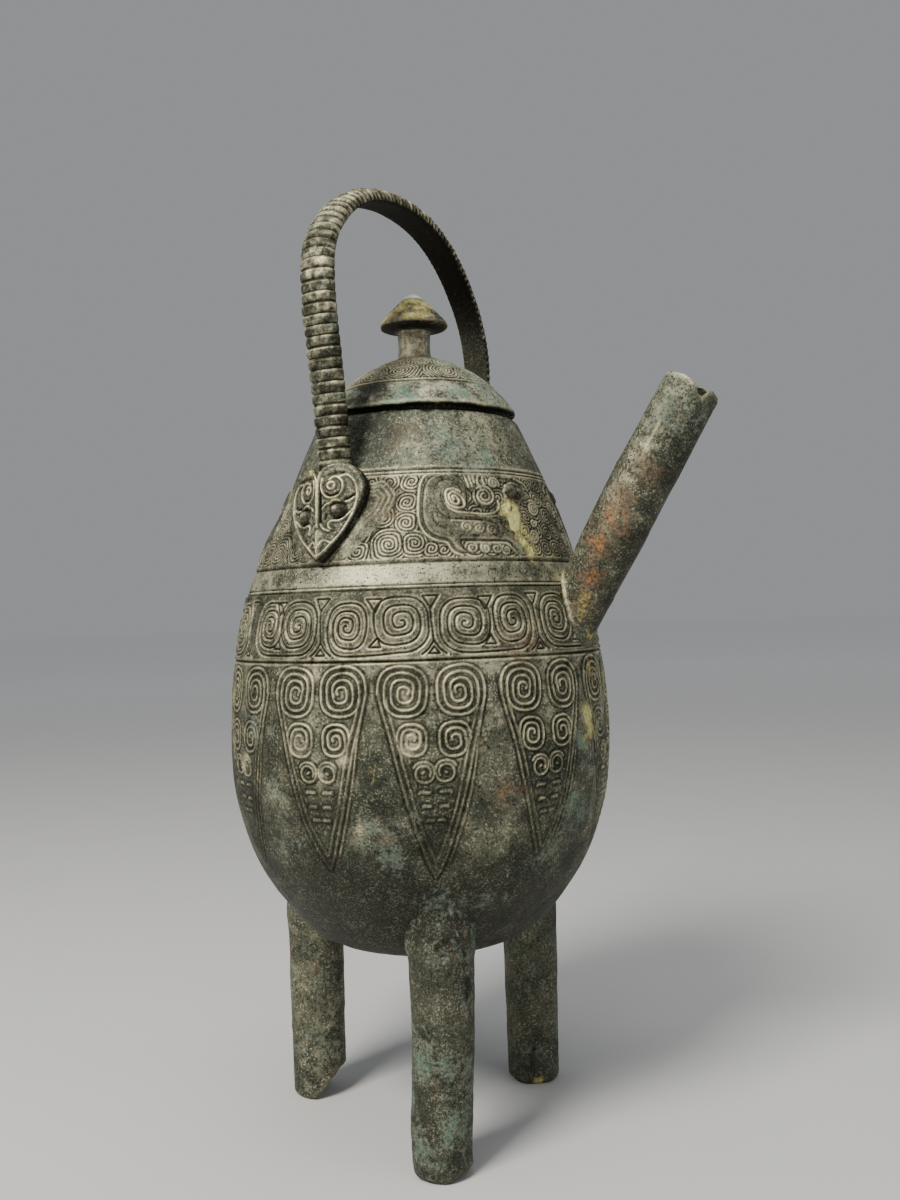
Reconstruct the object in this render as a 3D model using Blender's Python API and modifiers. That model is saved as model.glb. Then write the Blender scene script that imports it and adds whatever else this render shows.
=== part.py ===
"""Lidded tripod ewer in cast bronze, in metres, +Z up, standing on Z = 0.

One casting makes the vessel: an egg-shaped belly that narrows to a mouth, three
straight legs, a slanting tube spout towards +X, and a flat strap handle that
arches over the mouth in the YZ direction, from one heart-shaped mask to the
other. A domed lid with a mushroom knob rests loose on the mouth rim.
"""

import math

import bmesh
import bpy
from mathutils import Matrix, Vector

# ---- driving dimensions (metres) --------------------------------------------

AXIS_X = -0.0246  # turning axis of belly, neck and lid; the spout makes the rest of the width
WALL = 0.0021  # wall of the belly and neck
GAP = 0.0003  # between the lid and the rim it rests on

RIM_Z = 0.2608  # top of the mouth rim
RIM_R = 0.0376  # outer radius of the mouth rim
MOUTH_R = 0.0355  # inner radius of the mouth
BELLY_R = 0.0711  # widest outer radius
BOTTOM_Z = 0.0662  # underside of the belly

# Outer radius and height down the belly, from the rim to the underside
BELLY = (
    (RIM_R, RIM_Z),
    (0.0425, 0.2500),
    (0.0511, 0.2300),
    (0.0591, 0.2100),
    (0.0657, 0.1900),
    (0.0693, 0.1700),
    (0.0708, 0.1520),
    (BELLY_R, 0.1380),
    (0.0692, 0.1200),
    (0.0628, 0.1000),
    (0.0540, 0.0855),
    (0.0430, 0.0742),
    (0.0290, 0.0680),
    (0.0140, 0.0664),
    (0.0, BOTTOM_Z),
)

LEG_R = 0.0107
LEG_TOP_R = 0.0119  # the shoulder where a leg runs into the belly
LEG_CIRCLE_R = 0.0497
LEG_TOP_Z = 0.1000
LEG_ANGLES = (-54.0, 66.0, 186.0)  # degrees from +X
FOOT_ROUND = 0.0018

SPOUT_ROOT = Vector((0.0659, 0.0, 0.1893))  # centre line at the belly, from the turning axis
SPOUT_TIP = Vector((0.1120, 0.0, 0.2621))
SPOUT_ROOT_R = 0.0112
SPOUT_TIP_R = 0.0100
SPOUT_BORE_R = 0.0082

STRAP_WIDTH = 0.0122  # along X
STRAP_THICK = 0.0044
# Centre line of the strap in the YZ plane; the arch is fuller towards -Y
STRAP_PATH = (
    (-0.0512, 0.2385),
    (-0.0526, 0.2555),
    (-0.0553, 0.2752),
    (-0.0583, 0.2954),
    (-0.0577, 0.3140),
    (-0.0493, 0.3285),
    (-0.0338, 0.3398),
    (-0.0118, 0.3450),
    (0.0095, 0.3434),
    (0.0271, 0.3377),
    (0.0413, 0.3257),
    (0.0519, 0.3096),
    (0.0556, 0.2922),
    (0.0535, 0.2754),
    (0.0510, 0.2574),
    (0.0502, 0.2385),
)

MASK_HALF_W = 0.0156
MASK_HEIGHT = 0.0365
MASK_THICK = 0.0060
MASK_FOLD = 0.36  # how far each half falls back, per unit of width
MASK_TOP = (0.0570, 0.2420)  # ridge line: distance from the turning axis, height
MASK_TIP = (0.0648, 0.2060)

LID_R = 0.0374
LID_WALL = 0.0024
LIP_R = 0.0346  # plain lip inside the mouth
LIP_DEPTH = 0.0045
# Outer radius and height of the lid, from the knob's point to the edge
LID = (
    (0.0, 0.3108),
    (0.0022, 0.3096),
    (0.0127, 0.3000),
    (0.0128, 0.2981),
    (0.0062, 0.2962),
    (0.0061, 0.2864),
    (0.0100, 0.2845),
    (0.0190, 0.2806),
    (0.0262, 0.2756),
    (0.0304, 0.2720),
    (0.0362, 0.2650),
    (LID_R, 0.2622),
    (LID_R, RIM_Z + GAP),
)

TURN_STEPS = 64


# ---- helpers ----------------------------------------------------------------


def clear_scene():
    for old in list(bpy.data.objects):
        bpy.data.objects.remove(old, do_unlink=True)


def collection(name):
    made = bpy.data.collections.new(name)
    bpy.context.scene.collection.children.link(made)
    return made


def bronze(name, color, roughness):
    made = bpy.data.materials.new(name)
    made.use_nodes = True
    shader = made.node_tree.nodes["Principled BSDF"]
    shader.inputs["Base Color"].default_value = (*color, 1.0)
    shader.inputs["Metallic"].default_value = 0.85
    shader.inputs["Roughness"].default_value = roughness
    return made


def link(obj, where):
    where.objects.link(obj)
    return obj


def as_cutter(obj):
    obj.hide_render = True
    obj.display_type = "WIRE"
    return obj


def smooth_through(points, per_span):
    """Points on a Catmull-Rom curve through the given ones, ends included."""
    pts = [Vector(p) for p in points]
    pts = [2 * pts[0] - pts[1], *pts, 2 * pts[-1] - pts[-2]]
    out = []
    for i in range(1, len(pts) - 2):
        a, b, c, d = pts[i - 1 : i + 3]
        for k in range(per_span):
            t = k / per_span
            out.append(
                0.5
                * (
                    2 * b
                    + (c - a) * t
                    + (2 * a - 5 * b + 4 * c - d) * t * t
                    + (3 * b - a - 3 * c + d) * t**3
                )
            )
    out.append(pts[-2])
    return out


def inset(profile, distance):
    """The profile moved towards the axis, along its normal."""
    out = []
    for i, p in enumerate(profile):
        a = profile[max(i - 1, 0)]
        b = profile[min(i + 1, len(profile) - 1)]
        along = (b - a).normalized()
        out.append(p + Vector((along.y, -along.x)) * distance)
    return out


def turned(name, profile, where, steps=TURN_STEPS):
    """A closed solid of revolution. The profile runs from the top of the axis, down the outside, to the bottom of the axis."""
    mesh = bpy.data.meshes.new(name)
    edges = [(i, i + 1) for i in range(len(profile) - 1)]
    mesh.from_pydata([(p[0], 0.0, p[1]) for p in profile], edges, [])
    obj = link(bpy.data.objects.new(name, mesh), where)
    screw = obj.modifiers.new("Turn", "SCREW")
    screw.axis = "Z"
    screw.angle = math.tau
    screw.steps = steps
    screw.render_steps = steps
    screw.use_merge_vertices = True
    screw.merge_threshold = 0.00005
    screw.use_smooth_shade = True
    return obj


def cone(name, start, end, r_start, r_end, where, segments=32):
    """A closed round taper between two points."""
    axis = end - start
    bm = bmesh.new()
    bmesh.ops.create_cone(
        bm,
        cap_ends=True,
        segments=segments,
        radius1=r_start,
        radius2=r_end,
        depth=axis.length,
    )
    turn = axis.to_track_quat("Z", "Y").to_matrix().to_4x4()
    bmesh.ops.transform(bm, matrix=Matrix.Translation((start + end) / 2) @ turn, verts=bm.verts)
    mesh = bpy.data.meshes.new(name)
    bm.to_mesh(mesh)
    bm.free()
    return link(bpy.data.objects.new(name, mesh), where)


def boolean(target, other, operation):
    made = target.modifiers.new(f"{operation.title()} {other.name}", "BOOLEAN")
    made.object = other
    made.operation = operation
    made.solver = "EXACT"


def curve_to_mesh(curve_obj, name, where):
    """The curve's evaluated mesh as an object of its own, with its caps welded."""
    bpy.context.view_layer.update()
    graph = bpy.context.evaluated_depsgraph_get()
    mesh = bpy.data.meshes.new_from_object(curve_obj.evaluated_get(graph))
    bm = bmesh.new()
    bm.from_mesh(mesh)
    bmesh.ops.remove_doubles(bm, verts=bm.verts, dist=0.00001)
    bmesh.ops.recalc_face_normals(bm, faces=bm.faces)
    bm.to_mesh(mesh)
    bm.free()
    mesh.name = name
    obj = link(bpy.data.objects.new(name, mesh), where)
    obj.matrix_world = curve_obj.matrix_world
    bpy.data.objects.remove(curve_obj, do_unlink=True)
    return obj


# ---- pieces -----------------------------------------------------------------


def belly_outer():
    return smooth_through(BELLY, 2)


def make_belly(where):
    return turned("vessel", [Vector((0.0, RIM_Z)), *belly_outer()], where)


def make_hollow(where):
    """What is taken out of the belly: the space inside the wall, run on up through the mouth."""
    inner = inset(smooth_through(BELLY, 1), WALL)
    inside = [p for p in inner if p.y < RIM_Z - 0.012 and p.x > 0.004]
    floor_z = BOTTOM_Z + WALL
    profile = [
        Vector((0.0, RIM_Z + 0.01)),
        Vector((MOUTH_R, RIM_Z + 0.01)),
        Vector((MOUTH_R, RIM_Z - 0.006)),
        *inside,
        Vector((0.0, floor_z)),
    ]
    return as_cutter(turned("hollow", profile, where))


def make_leg(i, angle, where):
    """A straight leg with a rounded foot. It widens a little where it runs into the belly."""
    profile = [
        Vector((0.0, LEG_TOP_Z)),
        Vector((LEG_TOP_R, LEG_TOP_Z)),
        Vector((LEG_TOP_R, 0.0760)),
        Vector((LEG_R * 1.03, 0.0660)),
        Vector((LEG_R, 0.0560)),
        Vector((LEG_R, FOOT_ROUND)),
        Vector((LEG_R - FOOT_ROUND * 0.3, FOOT_ROUND * 0.3)),
        Vector((LEG_R - FOOT_ROUND, 0.0)),
        Vector((0.0, 0.0)),
    ]
    leg = as_cutter(turned(f"leg_{i}", profile, where, 24))
    a = math.radians(angle)
    leg.location = (LEG_CIRCLE_R * math.cos(a), LEG_CIRCLE_R * math.sin(a), 0.0)
    return leg


def make_spout(where):
    """The tube's outside, from inside the belly's wall to its square-cut tip, and the bore that runs through it."""
    along = (SPOUT_TIP - SPOUT_ROOT).normalized()
    outside = cone(
        "spout", SPOUT_ROOT - along * 0.016, SPOUT_TIP, SPOUT_ROOT_R, SPOUT_TIP_R, where, 28
    )
    bore = cone(
        "bore",
        SPOUT_ROOT - along * 0.034,
        SPOUT_TIP + along * 0.010,
        SPOUT_BORE_R,
        SPOUT_BORE_R,
        where,
        28,
    )
    return as_cutter(outside), as_cutter(bore)


def make_strap(where):
    """The handle: a strap, flat inside and crowned outside, swept along its arch."""
    section = bpy.data.curves.new("strap_section", "CURVE")
    section.dimensions = "2D"
    section.fill_mode = "NONE"
    outline = []
    half, thick = STRAP_WIDTH / 2, STRAP_THICK
    crown = 8
    for k in range(crown + 1):
        x = -half + STRAP_WIDTH * k / crown
        rise = 0.34 + 0.66 * math.sqrt(max(0.0, 1 - (x / half) ** 2))
        outline.append((x, -thick / 2 + thick * rise))
    outline += [(half, -thick / 2 + 0.0006), (half - 0.0006, -thick / 2)]
    outline += [(-half + 0.0006, -thick / 2), (-half, -thick / 2 + 0.0006)]
    spline = section.splines.new("POLY")
    spline.points.add(len(outline) - 1)
    for point, (x, y) in zip(spline.points, outline):
        point.co = (x, y, 0.0, 1.0)
    spline.use_cyclic_u = True
    section_obj = link(bpy.data.objects.new("strap_section", section), where)

    path = bpy.data.curves.new("strap_path", "CURVE")
    path.dimensions = "3D"
    path.twist_mode = "MINIMUM"
    path.bevel_mode = "OBJECT"
    path.bevel_object = section_obj
    path.use_fill_caps = True
    run = smooth_through(STRAP_PATH, 2)
    spline = path.splines.new("POLY")
    spline.points.add(len(run) - 1)
    for point, p in zip(spline.points, run):
        point.co = (0.0, p[0], p[1], 1.0)
    strap = curve_to_mesh(link(bpy.data.objects.new("strap_path", path), where), "strap", where)
    bpy.data.objects.remove(section_obj, do_unlink=True)
    return as_cutter(strap)


def heart(count):
    """The heart's outline, from the tip round one lobe to the notch and back down the other: across and up, in units of half the width and the height."""
    half = []
    for k in range(count):
        t = math.pi * k / count
        across = math.sin(t) ** 0.86 * (1.0 - 0.10 * math.sin(t) * math.cos(t))
        half.append((across, (0.5 - 0.5 * math.cos(t)) ** 0.80))
    return [*half, (0.0, 0.93), *((-a, u) for a, u in reversed(half[1:]))]


def heart_solid(name, size, front, back, place, where):
    """A closed heart-shaped block, folded back from the ridge along its middle."""
    bm = bmesh.new()
    verts = [
        bm.verts.new((a * size * MASK_HALF_W, (0.5 + (u - 0.5) * size) * MASK_HEIGHT, 0.0))
        for a, u in heart(12)
    ]
    bm.faces.new(verts)
    bmesh.ops.bisect_plane(
        bm,
        geom=[*bm.verts, *bm.edges, *bm.faces],
        plane_co=(0.0, 0.0, 0.0),
        plane_no=(1.0, 0.0, 0.0),
        dist=0.00001,
    )
    grown = bmesh.ops.extrude_face_region(bm, geom=bm.faces[:])
    for v in grown["geom"]:
        if isinstance(v, bmesh.types.BMVert):
            v.co.z -= back - front
    for v in bm.verts:
        v.co.z -= front + MASK_FOLD * abs(v.co.x)
    bmesh.ops.transform(bm, matrix=place, verts=bm.verts)
    bmesh.ops.recalc_face_normals(bm, faces=bm.faces)
    mesh = bpy.data.meshes.new(name)
    bm.to_mesh(mesh)
    bm.free()
    return as_cutter(link(bpy.data.objects.new(name, mesh), where))


def make_mask(side, where):
    """A heart-shaped plate under one end of the strap, and the smaller pad behind it that runs into the belly."""
    name = "mask_near" if side < 0 else "mask_far"
    top = Vector((0.0, side * MASK_TOP[0], MASK_TOP[1]))
    tip = Vector((0.0, side * MASK_TIP[0], MASK_TIP[1]))
    up = (top - tip).normalized()
    out = Vector((0.0, side * up.z, -side * up.y)).normalized()
    across = up.cross(out)
    place = Matrix.Translation(tip) @ Matrix((across, up, out)).transposed().to_4x4()
    plate = heart_solid(name, 1.0, 0.0, MASK_THICK, place, where)
    pad = heart_solid(f"{name}_pad", 0.80, MASK_THICK / 2, 0.0200, place, where)
    return plate, pad


def make_lid(where):
    """The dome and its knob, hollow underneath, with a plain lip that keeps it centred in the mouth."""
    outer = [Vector(p) for p in LID]
    edge = RIM_Z + GAP
    profile = [
        *outer,
        Vector((LIP_R, edge)),
        Vector((LIP_R, edge - LIP_DEPTH)),
        Vector((LIP_R - 0.0022, edge - LIP_DEPTH)),
        Vector((LIP_R - 0.0022, edge + 0.0012)),
        Vector((0.0300, 0.2690)),
        Vector((0.0180, 0.2782)),
        Vector((0.0080, 0.2818)),
        Vector((0.0, 0.2824)),
    ]
    return turned("lid", profile, where, 56)


def main():
    clear_scene()
    parts = collection("lidded_tripod_ewer")
    helpers = collection("shaping_pieces")

    vessel = make_belly(parts)
    for i, angle in enumerate(LEG_ANGLES):
        boolean(vessel, make_leg(i + 1, angle, helpers), "UNION")
    spout, bore = make_spout(helpers)
    boolean(vessel, spout, "UNION")
    boolean(vessel, make_strap(helpers), "UNION")
    for side in (-1, 1):
        for piece in make_mask(side, helpers):
            boolean(vessel, piece, "UNION")
    boolean(vessel, make_hollow(helpers), "DIFFERENCE")
    boolean(vessel, bore, "DIFFERENCE")
    vessel.data.materials.append(bronze("vessel_bronze", (0.16, 0.16, 0.12), 0.55))

    lid = make_lid(parts)
    lid.data.materials.append(bronze("lid_bronze", (0.14, 0.15, 0.12), 0.58))

    # The turning axis stands off the middle of the width, so everything moves over together.
    for obj in list(parts.objects) + list(helpers.objects):
        obj.location.x += AXIS_X


main()
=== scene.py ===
"""Looks of the lidded tripod ewer: cast line ornament, ribs, masks, chips and patina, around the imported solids.

Everything is worked out in millimetres from the turning axis and moved into place at the end.
"""

import math

import bpy
import numpy as np
from mathutils import Matrix, Vector


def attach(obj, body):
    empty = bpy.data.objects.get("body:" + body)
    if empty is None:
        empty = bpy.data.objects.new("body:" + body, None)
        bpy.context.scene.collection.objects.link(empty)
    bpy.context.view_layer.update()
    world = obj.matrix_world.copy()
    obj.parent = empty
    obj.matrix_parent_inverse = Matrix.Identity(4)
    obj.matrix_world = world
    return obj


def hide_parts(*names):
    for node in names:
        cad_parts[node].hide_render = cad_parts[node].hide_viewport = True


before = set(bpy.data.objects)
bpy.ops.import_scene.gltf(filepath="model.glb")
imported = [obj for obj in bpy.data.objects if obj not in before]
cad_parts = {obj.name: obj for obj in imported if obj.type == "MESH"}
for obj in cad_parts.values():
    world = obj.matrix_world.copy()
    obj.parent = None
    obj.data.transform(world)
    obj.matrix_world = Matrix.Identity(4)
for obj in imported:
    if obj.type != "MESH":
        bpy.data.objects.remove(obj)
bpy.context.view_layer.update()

AXIS_X = -24.6
FINE = 1.0

WALL = 2.1
RIM_Z = 260.8
MOUTH_R = 35.5
BELLY = [
    (37.6, 260.8),
    (42.5, 250.0),
    (51.1, 230.0),
    (59.1, 210.0),
    (65.7, 190.0),
    (69.3, 170.0),
    (70.8, 152.0),
    (71.1, 138.0),
    (69.2, 120.0),
    (62.8, 100.0),
    (54.0, 85.5),
    (43.0, 73.0),
    (29.0, 66.3),
    (14.0, 64.7),
    (0.0, 64.5),
]
LEG_ANGLES = (-54.0, 66.0, 186.0)
LEG_CIRCLE = 49.7
SPOUT_ROOT = np.array([65.9, 0.0, 189.3])
SPOUT_TIP = np.array([112.0, 0.0, 262.1])
STRAP_PATH = [
    (-51.2, 238.5),
    (-52.6, 255.5),
    (-54.9, 275.2),
    (-57.4, 295.4),
    (-56.4, 314.0),
    (-47.8, 327.8),
    (-32.6, 338.8),
    (-11.4, 343.9),
    (9.5, 342.6),
    (26.4, 336.2),
    (40.3, 324.8),
    (51.2, 309.0),
    (55.6, 292.2),
    (53.5, 275.4),
    (51.0, 257.4),
    (50.2, 238.5),
]


# ---- numbers, curves and noise ----------------------------------------------


def steps(a, b, x):
    t = np.clip((x - a) / (b - a), 0.0, 1.0)
    return t * t * (3 - 2 * t)


def through(points, per=8):
    """A Catmull-Rom curve through the points."""
    p = np.array(points, float)
    p = np.vstack([2 * p[0] - p[1], p, 2 * p[-1] - p[-2]])
    t = (np.arange(per) / per)[:, None]
    out = []
    for i in range(1, len(p) - 2):
        a, b, c, d = p[i - 1 : i + 3]
        out.append(0.5 * (2 * b + (c - a) * t + (2 * a - 5 * b + 4 * c - d) * t**2 + (3 * b - a - 3 * c + d) * t**3))
    return np.vstack([*out, p[-2:-1]])


class Noise:
    """Smooth value noise in space, between -1 and 1."""

    def __init__(self, seed, n=40):
        self.n = n
        self.t = np.random.default_rng(seed).uniform(-1, 1, (n, n, n)).astype(np.float32)

    def at(self, p, cell):
        q = np.asarray(p, np.float32) / np.float32(cell) + np.float32(500.0)
        i = np.floor(q).astype(np.int64)
        f = (q - i).astype(np.float32)
        f = f * f * (3 - 2 * f)
        i %= self.n
        j = (i + 1) % self.n
        x, y, z = f[..., 0], f[..., 1], f[..., 2]
        t = self.t

        def row(a, b):
            lo, hi = t[i[..., 0], a, b], t[j[..., 0], a, b]
            return lo + (hi - lo) * x

        p0 = row(i[..., 1], i[..., 2])
        p0 = p0 + (row(j[..., 1], i[..., 2]) - p0) * y
        p1 = row(i[..., 1], j[..., 2])
        p1 = p1 + (row(j[..., 1], j[..., 2]) - p1) * y
        return p0 + (p1 - p0) * z

    def sum(self, p, cell, octaves=3):
        out, size = 0.0, 1.0
        for k in range(octaves):
            out = out + size * self.at(np.asarray(p) + 37.0 * k, cell / 2**k)
            size *= 0.55
        return out / 1.5


SWELL, GRAIN, CRUST, PATCH = Noise(3), Noise(11), Noise(19), Noise(29)

profile = through(BELLY, 24)
along = np.r_[0, np.cumsum(np.hypot(*np.diff(profile, axis=0).T))]
along -= along[24] - 10.73  # the bands are measured from the shoulder up and down, not from the worn lip
TOP_S, LENGTH = along[0], along[-1]
slope = np.gradient(profile, along, axis=0)
slope /= np.linalg.norm(slope, axis=1)[:, None]


def r_of(s):
    return np.interp(s, along, profile[:, 0])


def z_of(s):
    return np.interp(s, along, profile[:, 1])


def normal_of(s):
    """Outward normal of the belly's profile, as (r, z)."""
    dr, dz = np.interp(s, along, slope[:, 0]), np.interp(s, along, slope[:, 1])
    size = np.hypot(dr, dz)
    return -dz / size, dr / size


def s_of_z(z):
    return np.interp(-np.asarray(z, float), -profile[:, 1], along)


def inset_of(s, depth=WALL):
    nr, nz = normal_of(s)
    return r_of(s) - nr * depth, z_of(s) - nz * depth


def around(count):
    """Angles round the axis, closer together on the side that carries the crisp ornament."""
    a = -math.pi + math.tau * (np.arange(count) + 0.5) / count
    return a - 0.45 * np.sin(a + math.radians(59.0))


def leaned(p):
    """The neck stands a little askew on the belly."""
    k = 2.1 * steps(198.0, 242.0, p[..., 2])
    return p + k[..., None] * np.array([0.857, 0.515, 0.0])


# ---- meshes -----------------------------------------------------------------

# What the material reads at each point: the hollow mark darkens hollows and also carries painted shade, the edge mark
# lightens worn lines and also carries painted highlights, and the tone carries painted light and shade besides the
# patina's own brightness.
MARKS = ("cav", "edge", "tone", "green", "red", "pale")


class Build:
    """Collects grids and caps into one closed mesh, with what the material reads at each point."""

    def __init__(self):
        self.points, self.quads, self.tris, self.marks, self.hard = [], [], [], {m: [] for m in MARKS}, []
        self.count = 0

    def add(self, p, **marks):
        """Adds points; returns their numbers in the same arrangement."""
        p = np.asarray(p, np.float32)
        n = p[..., 0].size
        self.points.append(p.reshape(-1, 3))
        for m in MARKS:
            value = marks.get(m, 0.5 if m == "tone" else 0.0)
            self.marks[m].append(np.broadcast_to(np.asarray(value, np.float32), p.shape[:-1]).reshape(-1))
        at = np.arange(self.count, self.count + n).reshape(p.shape[:-1])
        self.count += n
        return at

    def sheet(self, at, wrap=True, flip=False, keep=None):
        """Quads over a grid of point numbers."""
        if wrap:
            at = np.hstack([at, at[:, :1]])
        q = np.stack([at[:-1, :-1], at[1:, :-1], at[1:, 1:], at[:-1, 1:]], -1)
        if flip:
            q = q[..., ::-1]
        if keep is not None:
            q = q[keep]
        self.quads.append(q.reshape(-1, 4))

    def seam(self, a, b, flip=False, hard=True):
        """Joins two closed rows that run the same way and may differ in count."""
        m, n = len(a), len(b)
        i = j = 0
        out = []
        while i < m or j < n:
            if j >= n or (i < m and (i + 1) / m <= (j + 1) / n):
                out.append((a[i % m], b[j % n], a[(i + 1) % m]))
                i += 1
            else:
                out.append((a[i % m], b[j % n], b[(j + 1) % n]))
                j += 1
        t = np.array(out)
        self.tris.append(t[:, ::-1] if flip else t)
        if hard:
            self.hard += [a, b]

    def fan(self, row, centre, flip=False, **marks):
        c = self.add(np.asarray(centre, float)[None], **marks)[0]
        t = np.stack([row, np.roll(row, -1), np.full(len(row), c)], -1)
        self.tris.append(t[:, ::-1] if flip else t)

    def done(self, name, material, replaces, shift=(0.0, 0.0, 0.0)):
        co = np.vstack(self.points).astype(np.float64)
        co += np.array([AXIS_X, 0.0, 0.0]) + np.array(shift)
        quads = np.vstack(self.quads) if self.quads else np.zeros((0, 4), int)
        tris = np.vstack(self.tris) if self.tris else np.zeros((0, 3), int)
        mesh = bpy.data.meshes.new(name)
        mesh.vertices.add(len(co))
        mesh.vertices.foreach_set("co", (co * 0.001).astype(np.float32).ravel())
        corners = np.concatenate([quads.ravel(), tris.ravel()]).astype(np.int32)
        start = np.concatenate([np.arange(len(quads)) * 4, len(quads) * 4 + np.arange(len(tris)) * 3])
        mesh.loops.add(len(corners))
        mesh.loops.foreach_set("vertex_index", corners)
        mesh.polygons.add(len(start))
        mesh.polygons.foreach_set("loop_start", start.astype(np.int32))
        mesh.update(calc_edges=True)
        mesh.shade_smooth()
        if self.hard:
            row = np.zeros(len(co), np.int32)
            for k, r in enumerate(self.hard):
                row[r] = k + 1
            ends = np.zeros(len(mesh.edges) * 2, np.int32)
            mesh.edges.foreach_get("vertices", ends)
            ends = ends.reshape(-1, 2)
            sharp = (row[ends[:, 0]] > 0) & (row[ends[:, 0]] == row[ends[:, 1]])
            mark = mesh.attributes.new("sharp_edge", "BOOLEAN", "EDGE")
            mark.data.foreach_set("value", sharp)
        for m in MARKS:
            made = mesh.attributes.new(m, "FLOAT", "POINT")
            made.data.foreach_set("value", np.concatenate(self.marks[m]).astype(np.float32))
        obj = bpy.data.objects.new(name, mesh)
        bpy.context.scene.collection.objects.link(obj)
        mesh.materials.append(material)
        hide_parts(replaces)
        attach(obj, "root")
        COUNTS[name] = len(quads) * 2 + len(tris)
        return obj


COUNTS = {}


# ---- strokes: distance from each point of a surface to the lines drawn on it --


class Lines:
    """Distance, in mm along the surface, from a grid's points to the nearest stroke. x runs right seen from outside, y down."""

    def __init__(self, th, s, radius):
        self.th, self.s, self.radius = th, s, radius
        self.wide = np.concatenate([th - math.tau, th, th + math.tau])
        self.d = np.full((len(s), len(th)), 9.0, np.float32)

    def draw(self, pts, angle=0.0, s0=0.0, reach=2.6, flip=False):
        p = np.array(pts, float)
        if flip:
            p[:, 0] = -p[:, 0]
        a0 = math.radians(angle)
        count = len(self.th)
        for k in range(0, len(p) - 1, 8):
            seg = p[k : k + 9]
            y0, y1 = seg[:, 1].min() + s0 - reach, seg[:, 1].max() + s0 + reach
            j0, j1 = np.searchsorted(self.s, (y0, y1))
            if j0 >= j1:
                continue
            radius = self.radius[j0:j1]
            small = max(radius.min(), 1.0)
            lo, hi = seg[:, 0].min() - reach, seg[:, 0].max() + reach
            i0, i1 = np.searchsorted(self.wide, (a0 + lo / small, a0 + hi / small))
            if i0 >= i1:
                continue
            x = (self.wide[i0:i1] - a0)[None, :] * radius[:, None]
            y = np.broadcast_to((self.s[j0:j1] - s0)[:, None], x.shape)
            a, b = seg[:-1], seg[1:]
            v = b - a
            vv = np.maximum((v**2).sum(1), 1e-9)
            px, py = x[..., None] - a[:, 0], y[..., None] - a[:, 1]
            t = np.clip((px * v[:, 0] + py * v[:, 1]) / vv, 0, 1)
            d = np.sqrt(((px - t * v[:, 0]) ** 2 + (py - t * v[:, 1]) ** 2).min(-1))
            cols = np.arange(i0, i1) % count
            old = self.d[j0:j1, cols]
            self.d[j0:j1, cols] = np.minimum(old, d)


def quarter_spiral(table, first, width=1.0, height=1.0, square=2.6, per=9):
    """A volute given by its reach at each quarter turn. Angle 0 points down, 90 right, 180 up, so it winds counter-clockwise as seen."""
    r = through([(v, 0.0) for v in table], per)[:, 0]
    a = np.radians(first + 90.0 * np.arange(len(r)) / per)
    f = (np.abs(np.sin(a)) ** square + np.abs(np.cos(a)) ** square) ** (-1.0 / square)
    return np.stack([r * f * np.sin(a) * width, r * f * np.cos(a) * height], -1)


def wobbled(pts, seed, size=0.22, cell=7.0):
    """The unevenness of a line cut by hand."""
    p = np.array(pts, float)
    q = np.c_[p, np.full(len(p), seed * 11.3)]
    return p + size * np.stack([GRAIN.at(q, cell), GRAIN.at(q + 91.0, cell)], -1)


def inside(polygon, x, y):
    """Even-odd test of points against a closed outline."""
    out = np.zeros(x.shape, bool)
    p = np.array(polygon)
    for (x0, y0), (x1, y1) in zip(p, np.roll(p, -1, 0)):
        if y0 == y1:
            continue
        hit = ((y0 > y) != (y1 > y)) & (x < (x1 - x0) * (y - y0) / (y1 - y0) + x0)
        out ^= hit
    return out


def scrolls(th, s, radius, centres, pitch, top, bottom, square=2.5):
    """A ground of packed square spirals. Each point belongs to the nearest centre; returns the phase across the raised line and how near a border is."""
    shape = (len(s), len(th))
    best, second = np.full(shape, 99.0, np.float32), np.full(shape, 99.0, np.float32)
    phase = np.zeros(shape, np.float32)
    wide = np.concatenate([th - math.tau, th, th + math.tau])
    for n, (angle, y, size, hand) in enumerate(centres):
        a0 = math.radians(angle)
        reach = 2.6 * size + 2.0
        j0, j1 = np.searchsorted(s, (max(y - reach, top), min(y + reach, bottom)))
        if j0 >= j1:
            continue
        rr = radius[j0:j1]
        i0, i1 = np.searchsorted(wide, (a0 - reach / rr.min(), a0 + reach / rr.min()))
        cols = np.arange(i0, i1) % len(th)
        x = (wide[i0:i1] - a0)[None, :] * rr[:, None]
        dy = (s[j0:j1] - y)[:, None] + 0.0 * x
        x = x + 0.25 * np.sin(dy * 0.9 + n)
        d = (np.abs(x) ** square + np.abs(dy) ** square) ** (1 / square)
        rel = d / size
        turn = np.arctan2(hand * x, dy) / math.tau
        here = d / pitch - turn
        old, old2 = best[j0:j1, cols], second[j0:j1, cols]
        win = rel < old
        phase[j0:j1, cols] = np.where(win, here, phase[j0:j1, cols])
        second[j0:j1, cols] = np.minimum(np.maximum(rel, old), old2)
        best[j0:j1, cols] = np.minimum(rel, old)
    line = 0.5 + 0.5 * np.cos(math.tau * phase)
    border = np.exp(-(((second - best) * 3.2 / 0.55) ** 2))
    return line.astype(np.float32), border.astype(np.float32)


# ---- the belly's ornament ---------------------------------------------------

BAND_TOP, BAND_FOOT = 24.0, 58.7  # dragon band
SPIRAL_TOP, SPIRAL_FOOT = 68.0, 92.0  # band of linked spirals
BLADE_TOP = 93.0
PERIOD = 360.0 / 11
DRAGON_AT = -36.0
DRAGON_S = 22.7

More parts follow.
